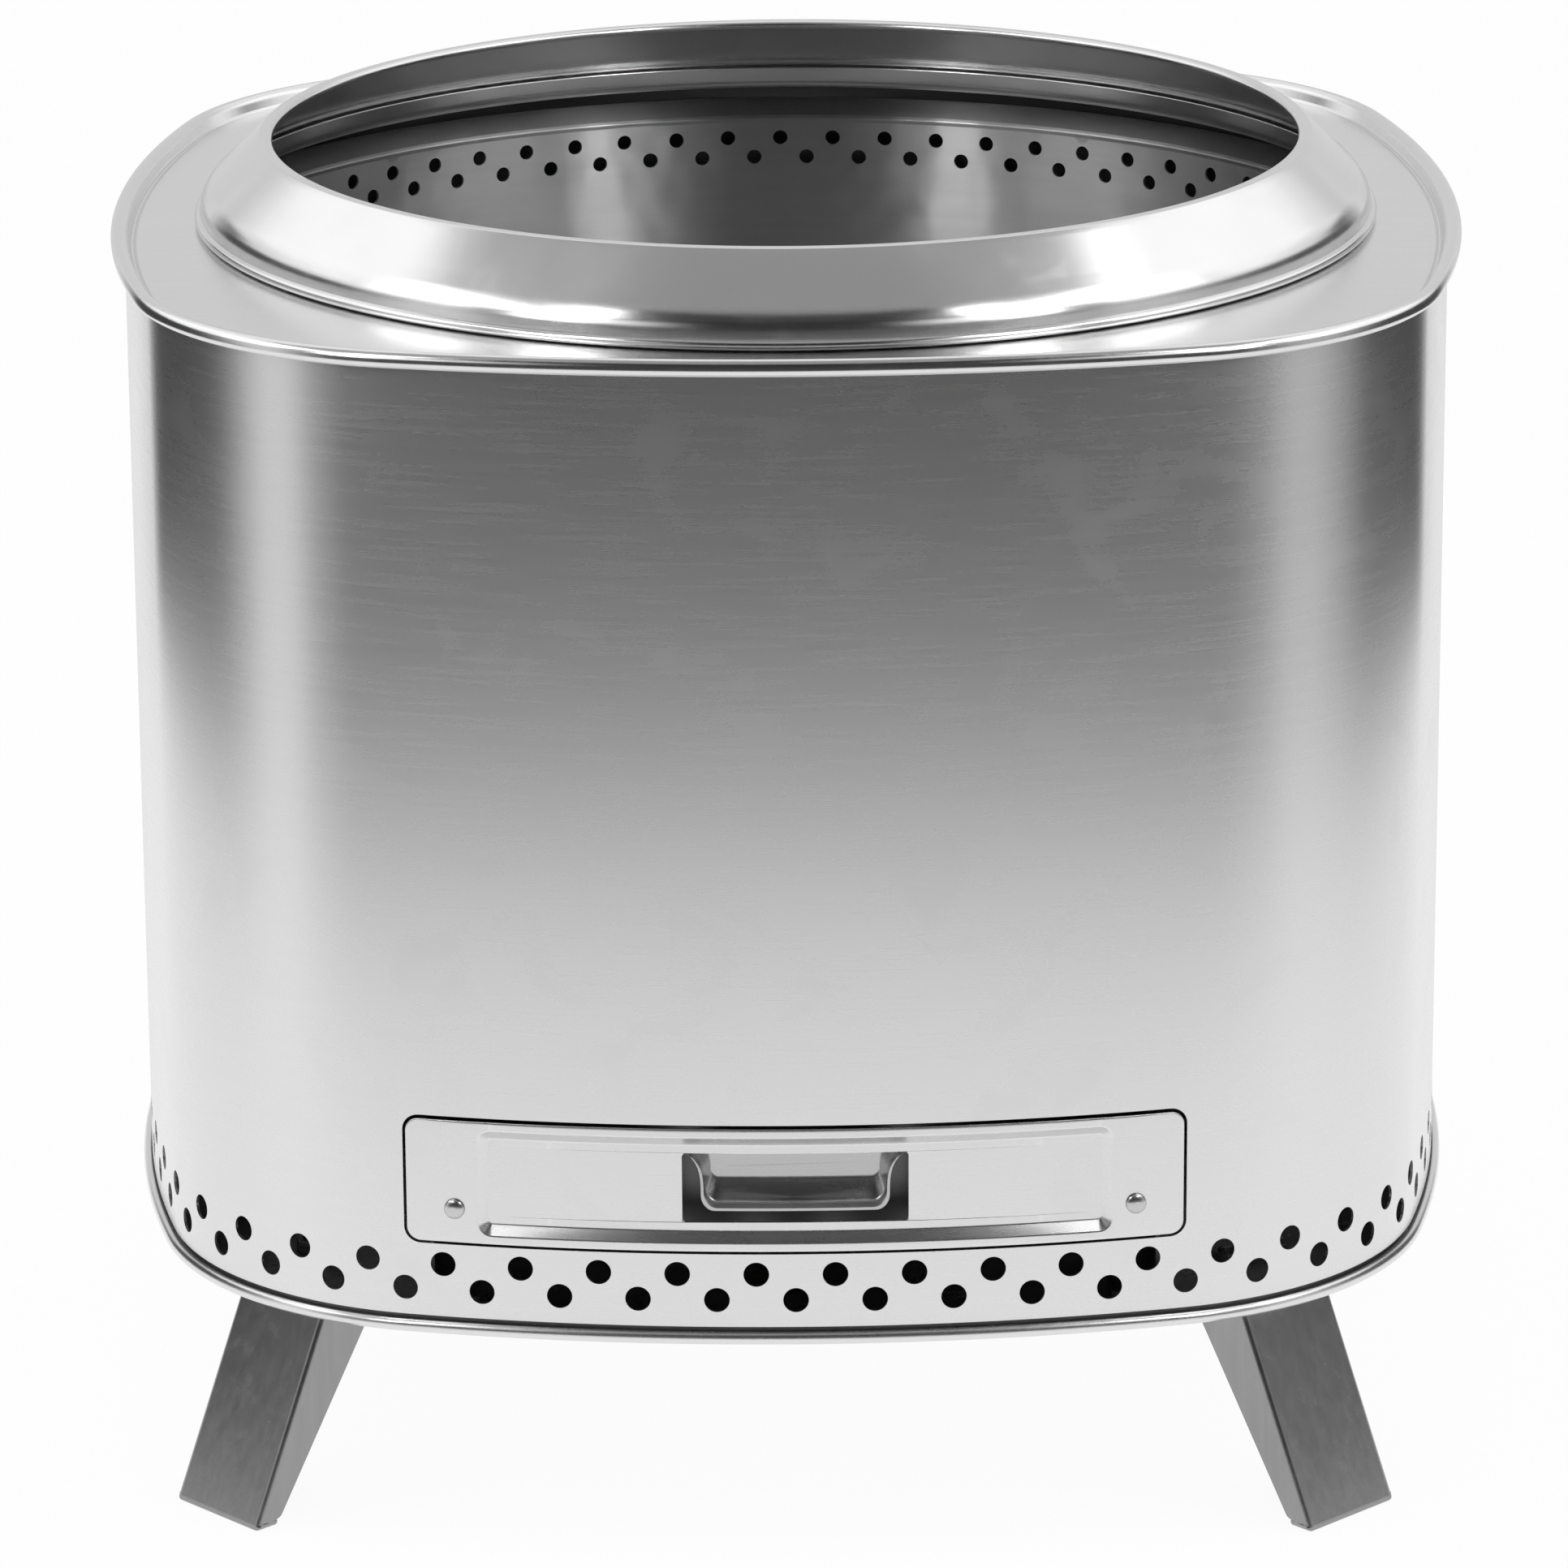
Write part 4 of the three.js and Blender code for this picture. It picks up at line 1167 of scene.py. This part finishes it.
def legChannel(eighth):
    half, thick = leg["width"] / 2, leg["sheet"]
    turn = Matrix.Rotation(eighth * quarterTurn / 2 + leg["turn"], 3, "Z")
    turns = [quarterTurn * i / leg["foldSteps"] for i in range(leg["foldSteps"] + 1)]
    rings = []
    for reach, z, way, width in legStations():
        section = []
        for inset in (0, thick):
            bend, edge = leg["sideBend"] - inset, half - inset
            fold = [(edge - bend * (1 - math.sin(t)), inset + bend * (1 - math.cos(t))) for t in turns]
            side = [(-edge, width), *((-x, d) for x, d in fold[::-1]), *fold, (edge, width)]
            section += side[::-1] if inset else side
        out, up = math.cos(way), math.sin(way)
        rings.append([turn @ Vector((x, -(reach + d * out), z + d * up)) for x, d in section])
    return loft(rings, closedSection=False)


for corner, eighth in corners.items():
    stands = [f"leg_{corner}"]
    addPiece(f"leg_channel_{corner}", *legChannel(eighth), "barrel_body", "leg_steel", "legSteel", stands, 30)
print("legs done")

# CAD pieces that keep their shape get the steel finish, with their edges broken

broken = {"sheet": 0.2, "hardware": 0.3}


def dressNode(node, finish, edge):
    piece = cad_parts[node]
    piece.data.materials.clear()
    piece.data.materials.append(steel[finish])
    bevel = piece.modifiers.new("broken edges", "BEVEL")
    bevel.width = broken[edge] * mm
    bevel.segments = 2
    bevel.limit_method = "ANGLE"
    bevel.harden_normals = True


for corner in corners:
    dressNode(f"drum_bracket_{corner}", "plainSteel", "sheet")
    for label in ("a", "b"):
        dressNode(f"leg_bolt_{corner}_{label}", "boltSteel", "hardware")
        dressNode(f"leg_nut_{corner}_{label}", "boltSteel", "hardware")
for label in ("left", "right"):
    dressNode(f"runner_{label}", "plainSteel", "sheet")
# painted shade: the tray gets the darker copy of the plain steel
dressNode("ash_tray", "traySteelPaintedShade", "sheet")
print("carried-over pieces dressed")

# Studio: pale floor, soft light, and glowing boards, dark to bright, that only reflections show

studio = {
    "floorRadius": 12,
    "floorSides": 64,
    "floorTone": 0.97,
    "worldLevel": 0.8,
    "whiteShare": 0.93,
    "aim": (0, 0, 0.4),
}


def onlyWhenSeen(tree):
    # 1 for rays from the camera, and for reflections and clear glass
    path = addNode(tree, "ShaderNodeLightPath").outputs
    seen = mathNode(tree, "MAXIMUM", path["Is Camera Ray"], path["Is Glossy Ray"])
    return mathNode(tree, "MAXIMUM", seen, path["Is Transmission Ray"])


def mixShaders(tree, share, first, second):
    mix = addNode(tree, "ShaderNodeMixShader", Fac=share)
    feed(tree, mix.inputs[1], first.outputs[0])
    feed(tree, mix.inputs[2], second.outputs[0])
    return mix.outputs[0]


def makeWorld():
    world = bpy.data.worlds.new("studio")
    world.use_nodes = True
    tree = world.node_tree
    tree.nodes.clear()
    soft = addNode(tree, "ShaderNodeBackground", Color=(1, 1, 1, 1), Strength=studio["worldLevel"])
    white = addNode(tree, "ShaderNodeBackground", Color=(1, 1, 1, 1), Strength=1)
    addNode(tree, "ShaderNodeOutputWorld", Surface=mixShaders(tree, onlyWhenSeen(tree), soft, white))
    bpy.context.scene.world = world


def makeFloor():
    mesh = bpy.data.meshes.new("floor")
    sides, radius = studio["floorSides"], studio["floorRadius"]
    turns = [fullTurn * i / sides for i in range(sides)]
    points = [Vector((math.cos(t), math.sin(t), 0)) * radius for t in turns]
    mesh.from_pydata(points, [], [tuple(range(sides))])
    material, tree = newMaterial("floor paper")
    shader = tree.nodes["Principled BSDF"]
    shader.inputs["Base Color"].default_value = (studio["floorTone"],) * 3 + (1,)
    shader.inputs["Roughness"].default_value = 1
    shader.inputs["Specular IOR Level"].default_value = 0
    glow = addNode(tree, "ShaderNodeEmission", Strength=1)
    share = mathNode(tree, "MULTIPLY", onlyWhenSeen(tree), studio["whiteShare"])
    feed(tree, tree.nodes["Material Output"].inputs["Surface"], mixShaders(tree, share, shader, glow))
    mesh.materials.append(material)
    newObject("floor", mesh)


# Only reflections show the boards: they glow, dark or bright, as painted reflections that light nothing else.
# Their tones are given by azimuth, and 0 is the camera's side.
boards = {
    "near": {  # round the barrel on both sides
        "radius": 0.8,
        "low": 0.12,
        "left": [(0, 0.05), (42, 0.05), (51, 0.3), (58, 0.72), (66, 0.72), (74, 0.35), (82, 0.1), (90, 0.05),
                 (126, 0.05), (138, 1)],
        "right": [(0, 0.05), (40, 0.05), (51, 0.25), (58, 0.5), (66, 0.5), (76, 0.3), (86, 0.08), (92, 0.06),
                  (126, 0.06), (138, 1)],
        "top": 0.62,
    },
    "middle": {
        "radius": 0.8, "low": 0.62, "high": 0.88, "from": -60, "to": 60,
        "tones": [(0, 0.03), (17, 0.03), (24, 0.7), (32, 1.4), (46, 1.4), (50, 0.3), (56, 0.3), (60, 1)],
    },
    "upper": {"radius": 0.8, "low": 0.88, "high": 1.5, "from": -46, "to": 46, "tones": [(0, 0.015)]},
    "tubeLeft": {"radius": 0.79, "low": 0.62, "high": 1.3, "from": -46, "to": -36, "tones": [(0, 6)]},
    "tubeRight": {"radius": 0.79, "low": 0.62, "high": 1.3, "from": 36, "to": 46, "tones": [(0, 6)]},
    "sideLeft": {"radius": 1.7, "low": 1.1, "high": 2.3, "from": -134, "to": -95, "tones": [(0, 1.3)]},
    "sideRight": {"radius": 1.7, "low": 1.1, "high": 2.3, "from": 95, "to": 134, "tones": [(0, 1.3)]},
    "canopy": {
        "height": 1.5, "tone": 0.36, "plan": [(-1.02, -0.95), (0.84, -0.95), (0.84, 0.15), (-1.02, 0.15)],
    },
    "back": {"radius": 2.2, "low": 0, "high": 1.7, "from": 140, "to": 220, "tones": [(0, 0.72)]},
    "step": 2,  # degrees
}


def between(table, place):
    for (a, low), (b, high) in zip(table, table[1:]):
        if place <= b:
            return low + (high - low) * (place - a) / (b - a)
    return table[-1][1]


def addBoard(name, verts, faces, tones):
    mesh = bpy.data.meshes.new(name)
    mesh.from_pydata(verts, [], faces)
    shade = mesh.attributes.new("tone", "FLOAT", "POINT")
    shade.data.foreach_set("value", tones)
    material, tree = newMaterial(name)
    tree.nodes.clear()
    tone = addNode(tree, "ShaderNodeAttribute", attribute_name="tone")
    glow = addNode(tree, "ShaderNodeEmission", Strength=tone.outputs["Fac"])
    addNode(tree, "ShaderNodeOutputMaterial", Surface=glow.outputs[0])
    mesh.materials.append(material)
    board = newObject(name, mesh)
    board.visible_camera = False
    board.visible_diffuse = False
    board.visible_shadow = False
    board.visible_transmission = False


def onRing(radius, azimuth, height):
    angle = math.radians(azimuth)
    return (radius * math.sin(angle), -radius * math.cos(angle), height)


def strip(name, azimuths, radius, low, high, tones):
    verts, faces, shades = [], [], []
    for i, azimuth in enumerate(azimuths):
        verts += [onRing(radius, azimuth, low), onRing(radius, azimuth, high)]
        shades += [between(tones, abs(azimuth))] * 2
        if i:
            faces.append((2 * i - 2, 2 * i, 2 * i + 1, 2 * i - 1))
    addBoard(name, verts, faces, shades)


def makeBoards():
    near, roof, step = boards["near"], boards["canopy"], boards["step"]
    for label, sign in (("left", -1), ("right", 1)):
        first, last = near[label][0][0], near[label][-1][0]
        azimuths = [sign * azimuth for azimuth in range(first, last + 1, step)]
        strip(f"board_{label}", azimuths, near["radius"], near["low"], near["top"], near[label])
    for name in ("middle", "upper", "tubeLeft", "tubeRight", "sideLeft", "sideRight", "back"):
        board = boards[name]
        azimuths = range(board["from"], board["to"] + 1, step)
        strip(f"board_{name}", azimuths, board["radius"], board["low"], board["high"], board["tones"])
    plan = [(x, y, roof["height"]) for x, y in roof["plan"]]
    addBoard("board_top", plan, [tuple(range(len(plan)))], [roof["tone"]] * len(plan))


lamps = [
    {"name": "left soft box", "place": (-1.35, -0.5, 1.6), "size": 1.1, "power": 7},
    {"name": "right soft box", "place": (1.35, -0.5, 1.6), "size": 1.1, "power": 6},
]


def makeLamp(lamp):
    data = bpy.data.lights.new(lamp["name"], "AREA")
    data.shape = "SQUARE"
    data.size = lamp["size"]
    data.energy = lamp["power"]
    light = newObject(lamp["name"], data)
    light.location = lamp["place"]
    way = Vector(studio["aim"]) - Vector(lamp["place"])
    light.rotation_euler = way.to_track_quat("-Z", "Y").to_euler()
    light.visible_camera = False


makeWorld()
makeFloor()
makeBoards()
for lamp in lamps:
    makeLamp(lamp)
bpy.context.scene.view_settings.view_transform = "Standard"
print("studio done")
